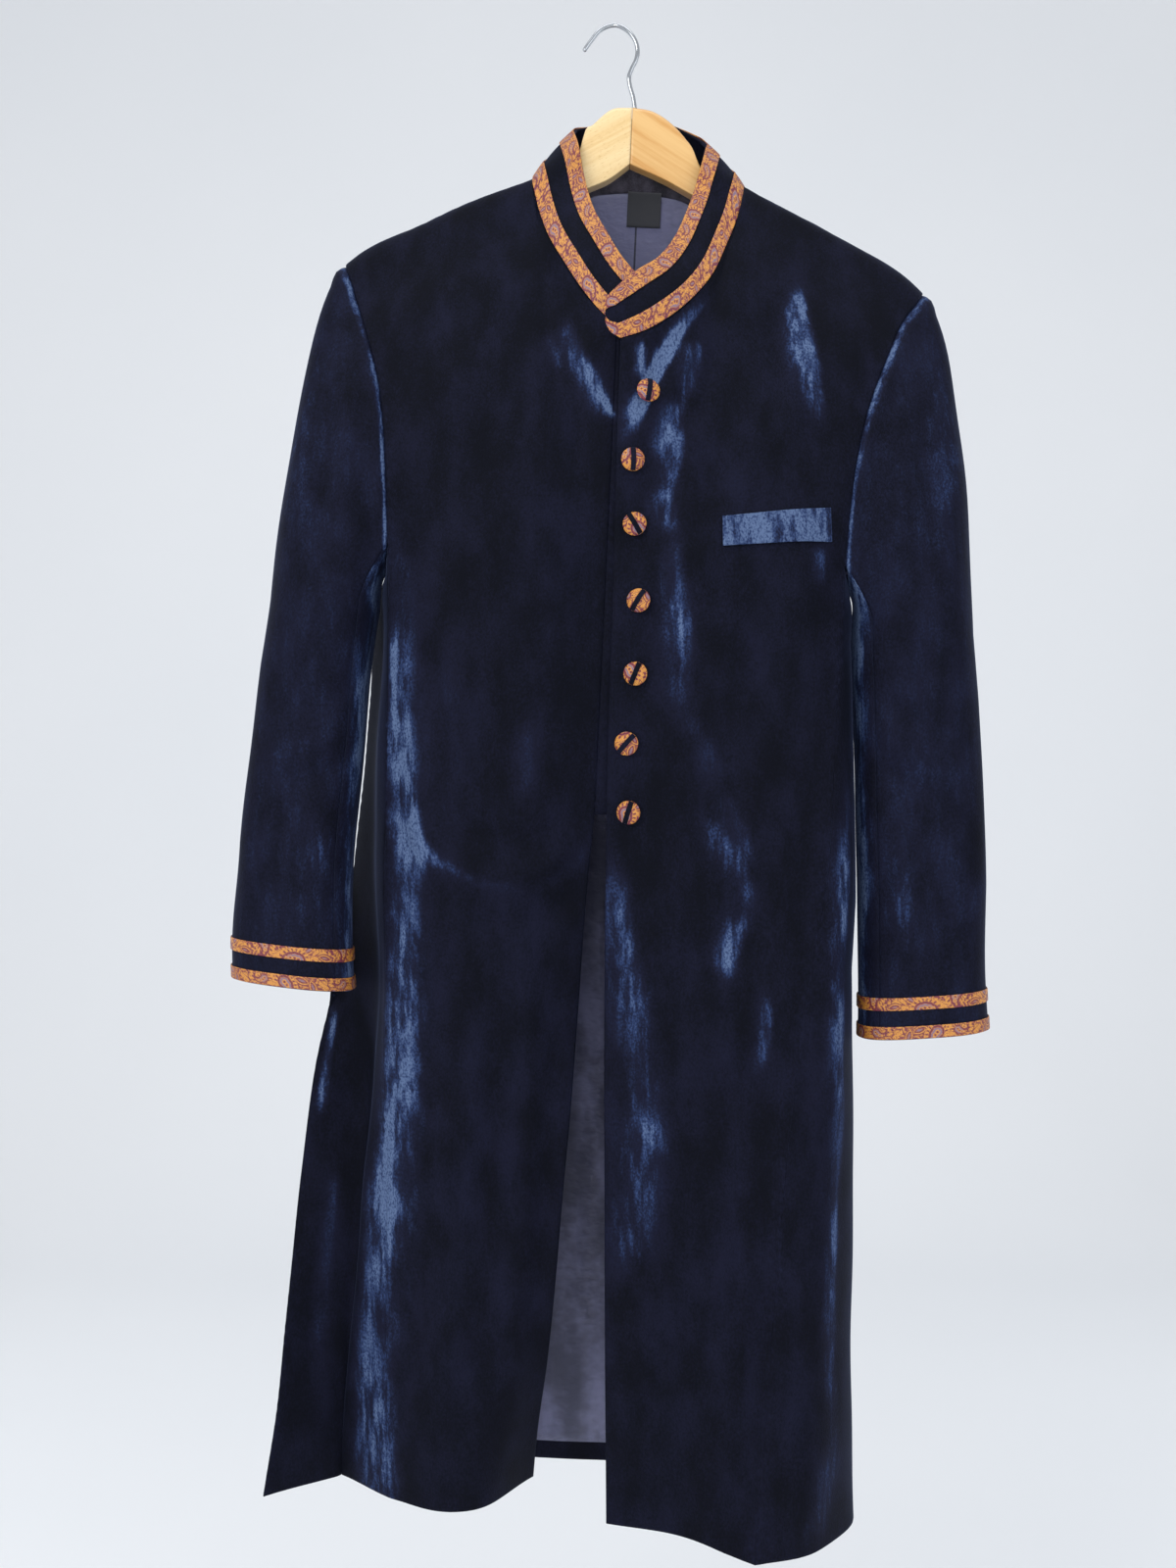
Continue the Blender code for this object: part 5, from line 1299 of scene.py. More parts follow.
def brocade_band(name, sheet, strip, closed=False):
    """A strip of brocade on the velvet, its figure cut from the cloth at strip."""
    step = 0.72
    fine = even_sheet(sheet, step, step)
    across, down = arc_lengths(fine["grid"], 0), arc_lengths(fine["grid"], 1)
    fine["figure"] = brocade_figure(across + strip[0], down + strip[1])
    cloth(name + "_brocade", fine, TRIM, out=LAYER_GAP + TRIM, closed=closed)


# ---- finishes

# kind of shader node: the inputs that a call fills in order, the output that
# it gives and its usual settings
NODE_KINDS = {
    "TexCoord": ((), "Object", {}),
    "Attribute": ((), "Fac", {}),
    "TexNoise": (("Vector", "Scale", "Detail"), "Fac", {}),
    "TexWave": (("Vector", "Scale", "Distortion", "Detail"), "Fac", {"wave_type": "BANDS"}),
    "VectorMath": ((0, 1), 0, {"operation": "MULTIPLY"}),
    "SeparateXYZ": ((0,), 0, {}),
    "Math": ((0, 1, 2), 0, {"operation": "MULTIPLY_ADD"}),
    "MapRange": ((0, 1, 2, 3, 4), 0, {"interpolation_type": "SMOOTHSTEP"}),
    "Mix": ((0, 6, 7), 2, {"data_type": "RGBA"}),
    "Bump": (("Height", "Distance", "Strength"), 0, {}),
}


def linear(code):
    """Linear RGBA of an sRGB hex colour."""
    channels = [int(code[i:i + 2], 16) / 255 for i in (0, 2, 4)]
    return (*[c / 12.92 if c <= 0.04045 else ((c + 0.055) / 1.055) ** 2.4 for c in channels], 1.0)


def sockets_of(made, chosen):
    """A material's shader sockets by the names that keyword arguments can hold."""
    shader = made.node_tree.nodes["Principled BSDF"]
    return [(shader.inputs[key.replace("_", " ")], value) for key, value in chosen.items()]


def finish(name, **constants):
    """A new material with constants on its shader's sockets, and what adds nodes to it."""
    made = bpy.data.materials.new(name)
    made.use_nodes = True
    for socket, value in sockets_of(made, constants):
        socket.default_value = value
    made.diffuse_color = (*constants["Base_Color"][:3], 1.0)
    return made, partial(add_node, made.node_tree)


def wired(made, **outputs):
    """The material with outputs of its nodes linked to its shader's sockets."""
    for socket, output in sockets_of(made, outputs):
        made.node_tree.links.new(output, socket)
    return made


def add_node(tree, kind, *values, give=None, **settings):
    """Add a shader node with its settings, fill or link its inputs, and give one of its outputs."""
    inputs, output, usual = NODE_KINDS[kind]
    made = tree.nodes.new("ShaderNode" + kind)
    for key, value in {**usual, **settings}.items():
        setattr(made, key, value)
    for key, value in zip(inputs, values):
        if isinstance(value, bpy.types.NodeSocket):
            tree.links.new(value, made.inputs[key])
        else:
            made.inputs[key].default_value = value
    return made.outputs[output if give is None else give]


def silk_velvet(colours):
    """Navy silk velvet: almost black down into the pile, with painted sheen in blue where it leans to the
    light.

    Long soft patches follow the painted sheen laid on the cloth, broken by streaks
    down the pile and by fine painted glints of single tufts.
    """
    made, add = finish("Navy silk velvet, short pile", Base_Color=linear("080b14"), Roughness=0.8,
                       Sheen_Weight=0.22, Sheen_Roughness=0.3, Sheen_Tint=linear("6f7fae"),
                       Specular_IOR_Level=0.1)
    place = add("TexCoord")
    nap = add("Attribute", attribute_name="nap")
    patches, streaks, tufts = [
        add("TexNoise", add("VectorMath", place, stretch), 1 / (size * MM), 3.0)
        for size, stretch in ((24, (1, 1, 0.5)), (5, (1, 1, 0.18)), (1.4, (1, 1, 0.7)))]
    # the noises swing the painted sheen up and down, so its patches end unevenly
    swing = add("MapRange", add("Math", streaks, 0.9, patches), 0.72, 1.2, 0.45, 1.45)
    field = add("Math", nap, swing, operation="MULTIPLY")
    lit = add("MapRange", field, 0.0, 1.15, 0.0, 0.76)
    # painted glints: single tufts lit where the painted sheen is faint, nearly all of them where it is
    # strong
    painted_glints = add("MapRange", add("Math", lit, 0.3, tufts), 0.4, 0.86, 0.3, 1.2)
    amount = add("Math", lit, painted_glints, operation="MULTIPLY", use_clamp=True)
    # painted halo: lighter soft pile round the painted sheen and over the sleeves, with random tone from
    # the noises
    halo_and_tone = add("Math", nap, 0.8, add("Math", tufts, 0.8, patches))
    coloured = add("Mix", add("MapRange", halo_and_tone, 0.68, 1.3),
                   colours["pile"], colours["pile_soft"])
    # painted sheen: half-lit and then lit pile where the sheen is strong
    for low, high, key in ((0.0, 0.45, "pile_lean"), (0.3, 1.0, "lit_pile")):
        share = add("MapRange", amount, low, high)
        coloured = add("Mix", share, coloured, colours[key])
    return wired(made, Base_Color=coloured, Normal=add("Bump", tufts, 0.0004, 0.5))


def pressed_facing(_):
    """Navy velvet of the neck facing, its pile pressed flat: dull, dark and faintly crinkled."""
    made, add = finish("Pressed navy velvet facing", Base_Color=linear("272532"), Roughness=0.85,
                       Sheen_Weight=0.15, Sheen_Roughness=0.4, Sheen_Tint=linear("8a86a0"))
    place = add("TexCoord")
    crinkles = add("TexNoise", add("VectorMath", place, (1, 1, 0.7)), 1 / (7 * MM), 3.0)
    tone = add("Math", add("TexNoise", place, 1 / (1.1 * MM), 2.0), 0.5, crinkles)
    share = add("MapRange", tone, 0.5, 1.0)
    return wired(made, Base_Color=add("Mix", share, linear("1b1a26"), linear("454150")),
                 Normal=add("Bump", tone, 0.002, 0.6))


def satin_lining(colours):
    """Charcoal satin lining: smooth and slightly shiny, faint twill and hung creases."""
    made, add = finish("Charcoal satin lining", Base_Color=linear("34364a"), Roughness=0.38,
                       Sheen_Weight=0.25, Sheen_Roughness=0.3, Sheen_Tint=linear("a9b0c8"))
    place = add("TexCoord")
    weave = add("Attribute", give="Vector", attribute_name="weave")
    soft = add("TexNoise", add("VectorMath", place, (1, 1, 0.45)), 1 / (34 * MM), 3.0)
    creases = add("TexNoise", add("VectorMath", place, (1, 0.6, 1.6)), 1 / (9 * MM), 2.0)
    twill = add("TexWave", weave, 1.3, 0.6, bands_direction="DIAGONAL")
    tone = add("Math", creases, 0.3, add("Math", twill, 0.14, soft))
    # painted light: the lining is made paler towards the neck, as if lit there, and darker lower down
    height = add("SeparateXYZ", place, give=2)
    pressed = add("MapRange", height, -0.6, -0.3, 0.0, 0.25)
    shade = add("MapRange", add("Math", pressed, 1.0, tone), 0.55, 0.98)
    coloured = add("Mix", shade, colours["lining"], linear("6e7092"))
    # seam is 100 less the distance from a sewn line, in mm; 0 where there is none
    sewn = add("MapRange", add("Attribute", attribute_name="seam"), 98.8, 99.7)
    hung = add("Math", twill, 0.02, add("Math", creases, 0.35, soft))
    height = add("Math", sewn, -0.08, hung)
    return wired(made, Base_Color=add("Mix", sewn, coloured, linear("2c2e40")),
                 Normal=add("Bump", height, 0.012, 0.6))


def brocade_cloth(colours):
    """Brocade: gold silk ground with maroon and mauve wefts, each thread's light its own."""
    made, add = finish("Gold and maroon silk brocade", Base_Color=linear("c8832f"), Roughness=0.5,
                       Sheen_Weight=0.06, Sheen_Roughness=0.35, Sheen_Tint=linear("f0c890"))
    weave = add("Attribute", give="Vector", attribute_name="weave")
    figure = add("Attribute", give="Vector", attribute_name="figure")
    in_maroon, in_mauve, relief = add("SeparateXYZ", figure).node.outputs
    # weave runs in millimetres, threads are about a third of one
    threads = add("TexNoise", weave, 1.6, 3.0)
    ribs = add("TexWave", weave, 0.95, 1.2, 2.0, bands_direction="Y")
    gold = add("Mix", add("MapRange", threads, 0.32, 0.7),
               colours["gold_shade"], colours["gold"])
    maroon = add("Mix", add("MapRange", threads, 0.35, 0.7),
                 linear("54142c"), colours["maroon"])
    pools = add("Mix", in_mauve, gold, colours["mauve"])
    coloured = add("Mix", in_maroon, pools, maroon)
    # painted shade: dark brown in the troughs between the ribs
    rib_shade = add("MapRange", ribs, 0.0, 0.35, 0.32, 0.0)
    height = add("Math", ribs, 0.3, relief)
    return wired(made, Base_Color=add("Mix", rib_shade, coloured, linear("4a2412")),
                 Normal=add("Bump", height, 0.00022, 0.8))


def woven_label(_):
    """Plain black label, a tight satin weave with a ribbed selvage look."""
    made, add = finish("Black woven label", Base_Color=linear("101217"), Roughness=0.55,
                       Sheen_Weight=0.2, Sheen_Tint=linear("8a8f9c"))
    weave = add("Attribute", give="Vector", attribute_name="weave")
    ribs = add("TexWave", weave, 1.1, bands_direction="X")
    cross = add("TexWave", weave, 0.8, bands_direction="Y")
    share = add("Math", cross, 0.6, ribs)
    return wired(made, Base_Color=add("Mix", share, linear("1c1e24"), linear("3a3c44")),
                 Normal=add("Bump", add("Math", cross, 1.0, ribs), 0.0002, 0.6))


def varnished_pine(colours):
    """Clear varnished pine: pale wood, soft growth bands, short dark flecks on the paler board."""
    made, add = finish("Clear varnished pine", Base_Color=linear("e8c184"), Roughness=0.42,
                       Coat_Weight=0.35, Coat_Roughness=0.22)
    grain = add("Attribute", give="Vector", attribute_name="grain")
    # grain runs in millimetres: along the board, across it and through it
    bands, lines, fibre, flecks = [
        add("TexNoise", add("VectorMath", grain, stretch), 1.0, 2.0)
        for stretch in ((0.005, 0.07, 0.05), (0.01, 0.42, 0.2), (0.1, 2.2, 1.4), (0.26, 1.5, 1.0))]
    tone = add("Math", fibre, 0.25, add("Math", lines, 0.5, bands))
    late = add("MapRange", tone, 0.62, 1.2)
    # the two arms come from different boards; grain runs negative on the paler one
    board = add("MapRange", add("SeparateXYZ", grain), -1.0, 1.0)
    pale = add("Mix", late, linear("e8ce9c"), linear("d9b67c"))
    pale = add("Mix", add("MapRange", flecks, 0.6, 0.7, 0.0, 0.55), pale, linear("b98a4e"))
    warm = add("Mix", late, colours["pine"], colours["pine_late"])
    return wired(made, Base_Color=add("Mix", board, pale, warm),
                 Normal=add("Bump", fibre, 0.00015, 0.3))


def chromed_wire(_):
    """Bright chromed steel wire with faint drawn lines in its gloss."""
    made, add = finish("Chromed steel wire", Base_Color=linear("b4b8bd"), Metallic=1.0, Roughness=0.14)
    along_wire = add("VectorMath", add("TexCoord"), (1, 1, 0.3))
    drawn = add("TexNoise", along_wire, 1 / (1.4 * MM), 2.0)
    return wired(made, Roughness=add("MapRange", drawn, 0.3, 0.7, 0.09, 0.22))


FINISHES = {
    "velvet": silk_velvet, "facing": pressed_facing, "satin": satin_lining, "brocade": brocade_cloth,
    "woven": woven_label, "pine": varnished_pine, "steel": chromed_wire,
}


def finish_of(kind):
    """The material of a kind, made once from the colours in the panel."""
    if kind not in CACHE:
        chosen = bpy.context.scene.sherwani_colours
        colours = {key: linear(hex_of(getattr(chosen, key))) for key in COLOUR_DEFAULTS}
        CACHE[kind] = FINISHES[kind](colours)
    return CACHE[kind]


def hex_of(colour):
    """sRGB hex code of a colour property, which holds sRGB in 0 to 1."""
    return "".join(f"{round(c * 255):02x}" for c in colour)


# ---- pieces of the coat

def build_panels(thick):
    """Fronts, side panels, back and button stand as folded walls of velvet."""
    form = draped_form()
    for name, facing in FACINGS.items():
        cloth(name + "_velvet", form[name], thick, facing=facing)
    cloth("button_stand_velvet", form["stand_strip"], thick)


def build_sleeve(half):
    """Top sleeve and under sleeve of one arm, and the brocade strips of its cuff."""
    form, name = draped_form(), half["name"]
    sleeve = form["sleeve_" + name]
    last = sleeve["grid"].shape[0] - 1
    fore, rear = form["under"], form["under"] + len(form["s_side"]) + 1
    top = np.concatenate([np.arange(rear, last), np.arange(0, fore + 1)])
    for part, columns in (("top", top), ("under", np.arange(fore, rear + 1))):
        sheet = reread(sleeve, lambda values: values[columns])
        sheet["nap"] = sleeve["nap"][columns]
        cloth(f"{part}_sleeve_{name}_velvet", sheet, SLEEVE_CLOTH,
              facing={"bottom": CUFF_FACING})
    levels, cuff = sleeve["levels"], half["sleeve"]["z"][-1] + 0.6
    raised = CUFF_BAND + CUFF_BETWEEN
    for label, lift, strip in (("lower", 0.0, (7.0, 3.0)), ("upper", raised, (24.0, 12.0))):
        heights = cuff + lift + CUFF_BAND * np.linspace(1, 0, 5)
        band = reread(sleeve, lambda values: down_columns(-levels, values[:, -len(levels):], -heights))
        brocade_band(f"cuff_band_{label}_{name}", band, strip, closed=True)


def build_collar(half):
    """Velvet half collar with a brocade strip along each of its edges."""
    name = half["name"]
    collar = draped_form()["collar_" + name]
    cloth(f"collar_{name}_velvet", collar, VELVET)
    rise = collar["rise"]
    places = np.arange(len(rise))
    bands = (("upper", np.linspace(0.0, COLLAR_BAND_SHARE, 5), (3.0, 2.0)),
             ("lower", np.linspace(1 - COLLAR_BAND_SHARE, 1 - 0.012, 5), (31.0, 14.0)))
    for label, shares, strip in bands:
        rows = np.interp(shares, rise, places)
        band = reread(collar, lambda values: down_columns(places, values, rows))
        brocade_band(f"collar_band_{label}_{name}", band, strip)


def build_inside():
    """Neck facing, back lining and the bare label."""
    form = draped_form()
    back, middle = form["back"], form["middle"]
    under = -(VELVET + LAYER_GAP)
    count = back["grid"].shape[0]
    off_middle = np.abs(np.arange(count) - middle) / form["back_neck"]
    depth = np.interp(off_middle, FACING_ARCH["off"], FACING_ARCH["share"])
    near = slice(middle - form["back_neck"] + 1, middle + form["back_neck"])
    facing = between_rows(form, back, np.zeros(count), depth, FACING_ROWS)
    facing = inset(reread(facing, lambda values: values[near]))
    cloth("neck_facing_velvet", facing, LINING, out=under, made="facing")
    hem = np.interp(-LINING_HEM_Z, -back["grid"][middle, :, 2], np.arange(back["grid"].shape[1]))
    sheet = between_rows(form, back, depth, np.full(count, hem), LINING_ROWS)
    across = arc_lengths(sheet["grid"], 0)
    from_seam = np.abs(across - across[middle])
    # at the slits the lining stops short of the velvet turned inside
    below_waist = rising(560, 720, -sheet["grid"][middle, :, 2])
    sheet = drawn_in(sheet, middle, 1 - LINING_DRAWN_IN * below_waist)
    sheet = inset(reread(sheet, lambda values: values[1:-1]))
    # the centre seam shows at the neck and is pressed out lower down
    pressed_out = 9 * (1 - rising(-520, -400, sheet["grid"][..., 2]))
    sheet["seam"] = np.maximum(100 - from_seam[1:-1] - pressed_out, 0)
    cloth("back_lining_satin", sheet, LINING, out=under)
    inside = back["grid"] + back["offsets"] * (under - LINING - LAYER_GAP)
    corners = np.stack([LABEL["x"], LABEL["z"]], axis=1)
    label = corner_sheet(inside[middle - 9:middle + 10], corners, 28, 18, -1)
    cloth("label_woven", label, LABEL_THICK)


def between_rows(form, back, first, last, steps):
    """The back between two rows that differ by column.

    Up to the underarm a row is given as a share of the yoke's depth, and
    beyond 1 as a row's number.
    """
    rows = np.arange(back["grid"].shape[1])
    yoke_rows = rows[:len(form["v"])]
    row_of = [np.where(ends > 1, ends, np.interp(ends, form["v"], yoke_rows)) for ends in (first, last)]
    share = np.linspace(0, 1, steps)
    return reread(back, lambda values: np.stack([
        spline(rows, column, a + share * (b - a)) for column, a, b in zip(values, *row_of)]))


def drawn_in(sheet, middle, shares):
    """The sheet with each row's columns drawn towards the middle one by the row's share."""
    places = np.arange(sheet["grid"].shape[0])
    return reread(sheet, lambda values: np.stack([
        spline(places, values[:, row], middle + (places - middle) * share)
        for row, share in enumerate(shares)], axis=1))


def inset(sheet):
    """The sheet with its four edges drawn in a little."""
    grid = sheet["grid"].copy()
    for edge, next_one in (((0,), (1,)), ((-1,), (-2,)), ((slice(None), 0), (slice(None), 1)),
                           ((slice(None), -1), (slice(None), -2))):
        grid[edge] += unit(grid[next_one] - grid[edge]) * INNER_SETBACK
    return dict(sheet, grid=grid)


def corner_sheet(grid, corners, across, down, turn):
    """Sheet between four corners given by x and z, laid at a grid's depth."""
    top_left, top_right, low_right, low_left = corners
    s = np.linspace(0, 1, across + 1)[:, None, None]
    t = np.linspace(0, 1, down + 1)[None, :, None]
    flat = (1 - t) * ((1 - s) * top_left + s * top_right) + t * ((1 - s) * low_left + s * low_right)
    depth = depth_under(grid, flat[..., 0].ravel(), flat[..., 1].ravel()).reshape(flat.shape[:2])
    return new_sheet(np.stack([flat[..., 0], depth, flat[..., 1]], axis=-1), turn)


def build_welt():
    """Welt of the breast pocket, cut with its pile the other way; its lighter look is painted sheen."""
    front = draped_form()["front_left"]["grid"]
    corners = np.stack([WELT["x"], WELT["z"]], axis=1)
    welt = corner_sheet(front, corners, 60, 22, 1)
    welt["nap"] = 0.86 + 0.16 * np.sin(welt["grid"][..., 0] / 6 + welt["grid"][..., 2] / 9)
    cloth("breast_welt_velvet", welt, WELT_THICK, out=WELT_THICK + WELT_LIFT)


# ---- buttons

def button_frames():
    """Centre, axes and depth to the cloth of every button on the left front."""
    front = draped_form()["front_left"]["grid"]
    reach = BUTTON_RADIUS
    frames = []
    for x, z, turn in rows_of(BUTTONS, "x z strip"):
        beside = depth_under(front, (x - reach, x, x + reach), (z, z, z))
        above = depth_under(front, (x, x), (z + reach, z - reach))
        normal = unit(np.array([(beside[2] - beside[0]) / (2 * reach), -1.0,
                                (above[0] - above[1]) / (2 * reach)]))
        centre = np.array([x, beside.min(), z]) + normal * BUTTON_LIFT
        across = np.array([math.cos(math.radians(turn)), 0, math.sin(math.radians(turn))])
        across = unit(across - normal * np.dot(across, normal))
        axes = np.stack([across, np.cross(normal, across), normal])
        frames.append((centre, axes, (beside[1] - centre[1]) / -normal[1]))
    return frames


def dome_height(r, radius):
    """Height of the button's dome over its back at the radius r."""
    return BUTTON_RISE * np.sqrt(np.maximum(1 - (r / (radius + 0.6)) ** 2, 0))


def build_buttons(radius):
    """Brocade-covered domes with turned-under rims, and the velvet strip over each."""
    sides = 96
    angles = np.arange(sides + 1) / sides * 2 * math.pi
    for number, (centre, axes, to_cloth) in enumerate(button_frames(), 1):
        dome = np.linspace(0.004, 1.0, 26) * radius
        heights = dome_height(dome, radius)
        turned = np.linspace(0, math.pi / 2, 6)[1:]
        rim_r = radius - BUTTON_RIM + BUTTON_RIM * np.cos(turned)
        rim_h = dome_height(radius, radius) - BUTTON_RIM * np.sin(turned) - 0.15
        rings_r = np.concatenate([dome, rim_r, [SHANK_RADIUS + 0.6, SHANK_RADIUS, SHANK_RADIUS, 0.02]])
        under = rim_h[-1]
        rings_h = np.concatenate([heights, rim_h, [under, under - 0.4, LAYER_GAP - to_cloth,
                                                   LAYER_GAP - to_cloth]])
        # gathers of the cover near the rim
        gather = 0.10 * np.cos(14 * angles[None, :-1]) * rising(0.6, 1.0, rings_r / radius)[:, None]
        x = rings_r[:, None] * np.cos(angles[None, :-1])
        y = rings_r[:, None] * np.sin(angles[None, :-1])
        local = np.stack([x, y, rings_h[:, None] + gather * (rings_h[:, None] > 0.3)], axis=-1)
        grid = centre + local @ axes
        faces = ring_faces(len(rings_r), sides)
        place = np.stack([x + 3.7 * number, y + 2.3 * number, np.zeros_like(x)], axis=-1).reshape(-1, 3)
        figure = brocade_figure(place[:, 0] + 11 * number, place[:, 1] + 5 * number)
        new_piece(f"button_{number}_brocade", grid, faces, weave=place, figure=figure)
        build_button_strip(number, centre, axes, radius)


def ring_faces(rings, sides):
    """Quads between closed rings, and one face over each end, facing outward."""
    index = np.arange(rings * sides).reshape(rings, sides)
    nxt = np.roll(index, -1, axis=1)
    faces = np.stack([index[:-1].ravel(), index[1:].ravel(), nxt[1:].ravel(), nxt[:-1].ravel()], 1).tolist()
    return faces + [index[0].tolist(), index[-1][::-1].tolist()]


def build_button_strip(number, centre, axes, radius):
    """Velvet strip laid over the dome along its local x, its ends turned under the rim."""
    places = np.linspace(-1, 1, 60) * (radius - 0.15)
    across = np.linspace(1, -1, 12) * BUTTON_STRIP / 2
    x, y = np.meshgrid(places, across, indexing="ij")
    lift = dome_height(np.hypot(x, y * 0.6), radius) + STRIP_LIFT
    sheet = new_sheet(centre + np.stack([x, y, lift + STRIP_THICK], axis=-1) @ axes, 1)
    sheet["offsets"] = np.broadcast_to(axes[2], sheet["grid"].shape)
    place = np.concatenate([np.stack([x, y, 0 * x], axis=-1).reshape(-1, 3)] * 2)
    new_piece(f"button_strip_{number}_velvet", wall(sheet, STRIP_THICK), quads(*x.shape, 1),
              weave=place, nap=np.full(len(place), STRIP_SHEEN))


# ---- hanger

def arm_edges(half, count):
    """Top and lower edge of one arm, from the joint to the shoulder's tip."""
    name, side = half["name"], half["side"]
    inner_x = np.abs(HANGER_TOP[name + "_x"] - HANGER_JOINT[0])
    neck_out = np.linspace(inner_x[0] + 0.15, inner_x[-1], count)
    near_z = spline(inner_x, HANGER_TOP[name + "_z"], neck_out)
    near_x = neck_out + side * HANGER_JOINT[0]
    neck_point = seam_points(half["neck"])[0] * (side, 1, 1)
    tip = np.array([abs(half["armhole"]["front_x"][0]), 0.0, half["armhole"]["z"][0]])
    reach = np.linspace(HANGER_ARM_FROM, HANGER_TIP_X, count)
    under = shoulder_line(neck_point, tip, (reach - neck_point[0]) / (tip[0] - neck_point[0]))
    far_x, far_z = under[:, 0], under[:, 2] - HANGER_UNDER
    top = np.stack([np.concatenate([near_x, far_x]), np.concatenate([near_z, far_z])], axis=1)
    low_z = spline(np.concatenate([[side * HANGER_JOINT[0]], HANGER_LOW["x"]]),
                   np.concatenate([[HANGER_JOINT[1]], HANGER_LOW["z"]]), top[:, 0])
    return top, np.stack([top[:, 0], low_z], axis=1)


GRAIN_WAY = (0.86, 0.5)  # the grain's slope down along an arm, as cosine and sine


def build_hanger():
    """Two swept pine arms joined under the hook, their edges rounded over."""
    deep, r, q = HANGER_THICK / 2, HANGER_TOP_ROUND, HANGER_LOW_ROUND
    corner = np.linspace(0, math.pi / 2, 6)
    for half in (LEFT, RIGHT):
        side = half["side"]
        top, low = arm_edges(half, 42)
        count = len(top)
        # a section runs over the top edge from the front, down the back and under
        over = [(-deep + r - r * math.cos(a), r - r * math.sin(a)) for a in corner]
        over += [(deep - r + r * math.sin(a), r - r * math.cos(a)) for a in corner]
        below = [(deep - q + q * math.cos(a), q - q * math.sin(a)) for a in corner]
        below += [(-deep + q - q * math.sin(a), q - q * math.cos(a)) for a in corner]
        rings, grain = [], []
        for edge, ways, toward in ((top, over, -1), (low, below, 1)):
            for y, drop in ways:
                z = edge[:, 1] + toward * drop
                rings.append(np.stack([edge[:, 0] * side, np.full(count, y), z], axis=1))
                lengthwise = edge[:, 0] * GRAIN_WAY[0] - z * GRAIN_WAY[1]
                crosswise = edge[:, 0] * GRAIN_WAY[1] + z * GRAIN_WAY[0]
                grain.append(np.stack([side * (300 + lengthwise), crosswise, np.full(count, y)], axis=1))
        grid, place = np.stack(rings, axis=1), np.stack(grain, axis=1)
        faces = ring_faces(count, grid.shape[1])
        faces = [face[::-1] for face in faces] if side < 0 else faces
        new_piece(f"hanger_{half['name']}_pine", grid, faces, grain=place.reshape(-1, 3))


def build_hook(wire):
    """Bent wire hook: circles along a smooth route, its tip rounded."""
    route = np.stack([HOOK_ROUTE["x"], np.zeros_like(HOOK_ROUTE["x"]), HOOK_ROUTE["z"]], axis=1)
    sides, rings = 28, 190
    line = along(route, np.linspace(0, 1, rings))
    run = np.concatenate([[0], np.cumsum(np.linalg.norm(np.diff(line, axis=0), axis=1))])
    to_tip = run[-1] - run
    radius = wire / 2 * np.sqrt(np.clip(1 - np.clip(1 - to_tip / (wire / 2), 0, 0.995) ** 2, 0, 1))
    sideways = np.array([0.0, 1.0, 0.0])
    upward = np.cross(unit(np.gradient(line, axis=0)), sideways)
    angles = (np.arange(sides) / sides * 2 * math.pi)[None, :, None]
    outward = np.cos(angles) * upward[:, None] + np.sin(angles) * sideways
    grid = line[:, None] + radius[:, None, None] * outward
    new_piece("hook_steel", grid, ring_faces(rings, sides))


# ---- panel and operators

# label, description and sRGB code
COLOUR_DEFAULTS = {
    "pile": ("Pile", "Velvet seen down into its pile", "040611"),
    "pile_soft": ("Soft pile", "Velvet where the pile stands loosely", "121427"),
    # the soft pile is random tone and a painted halo round the painted sheen; the leaning and lit pile are
    # painted sheen
    "pile_lean": ("Leaning pile", "Velvet where the nap leans a little", "27365a"),
    "lit_pile": ("Lit pile", "Velvet where the nap leans to the light", "556789"),
    "lining": ("Lining", "Satin lining of the body and sleeves", "3c3e55"),
    "gold": ("Gold thread", "Ground of the brocade", "e7a74c"),
    "gold_shade": ("Gold in shade", "Ground of the brocade between its threads", "b56c2c"),
    "maroon": ("Maroon thread", "Outlines of the brocade's figure", "8a2f4a"),
    "mauve": ("Mauve thread", "Pools of the brocade's figure", "826a80"),
    "pine": ("Pine", "Early wood of the hanger", "dcb274"),
    "pine_late": ("Late wood", "Growth lines of the hanger", "c4893f"),
}
# label, description, usual value, least and greatest in metres
SIZE_DEFAULTS = {
    "velvet_thickness": ("Velvet thickness", "Velvet of the body with its interlining",
                         VELVET * MM, 0.0015, 0.004),
    "button_radius": ("Button radius", "Radius of the covered buttons", BUTTON_RADIUS * MM, 0.006, 0.012),
    "hook_wire": ("Hook wire", "Diameter of the hanger's hook", HOOK_WIRE * MM, 0.002, 0.005),
    "camera_distance": ("Camera distance", "From the lens to the coat's plane", 1.2, 0.8, 4.0),
}


def colour_default(code):
    return tuple(int(code[i:i + 2], 16) / 255 for i in (0, 2, 4))


class SherwaniColours(bpy.types.PropertyGroup):
    """Colours of the coat's cloths and of its hanger."""

    __annotations__ = {
        key: FloatVectorProperty(name=label, description=text, subtype="COLOR_GAMMA", size=3,
                                 min=0.0, max=1.0, default=colour_default(code))
        for key, (label, text, code) in COLOUR_DEFAULTS.items()
    }


class SherwaniSizes(bpy.types.PropertyGroup):
    """Sizes that a user may change."""

    __annotations__ = {
        key: FloatProperty(name=label, description=text, default=usual, min=least, max=most,
                           unit="LENGTH", precision=4)
        for key, (label, text, usual, least, most) in SIZE_DEFAULTS.items()
    }


class SHERWANI_OT_body(bpy.types.Operator):
    """Builds the fronts, side panels, back and button stand."""

    bl_idname = "sherwani.body"
    bl_label = "Body"

    def execute(self, context):
        build_panels(context.scene.sherwani_sizes.velvet_thickness / MM)
        return {"FINISHED"}


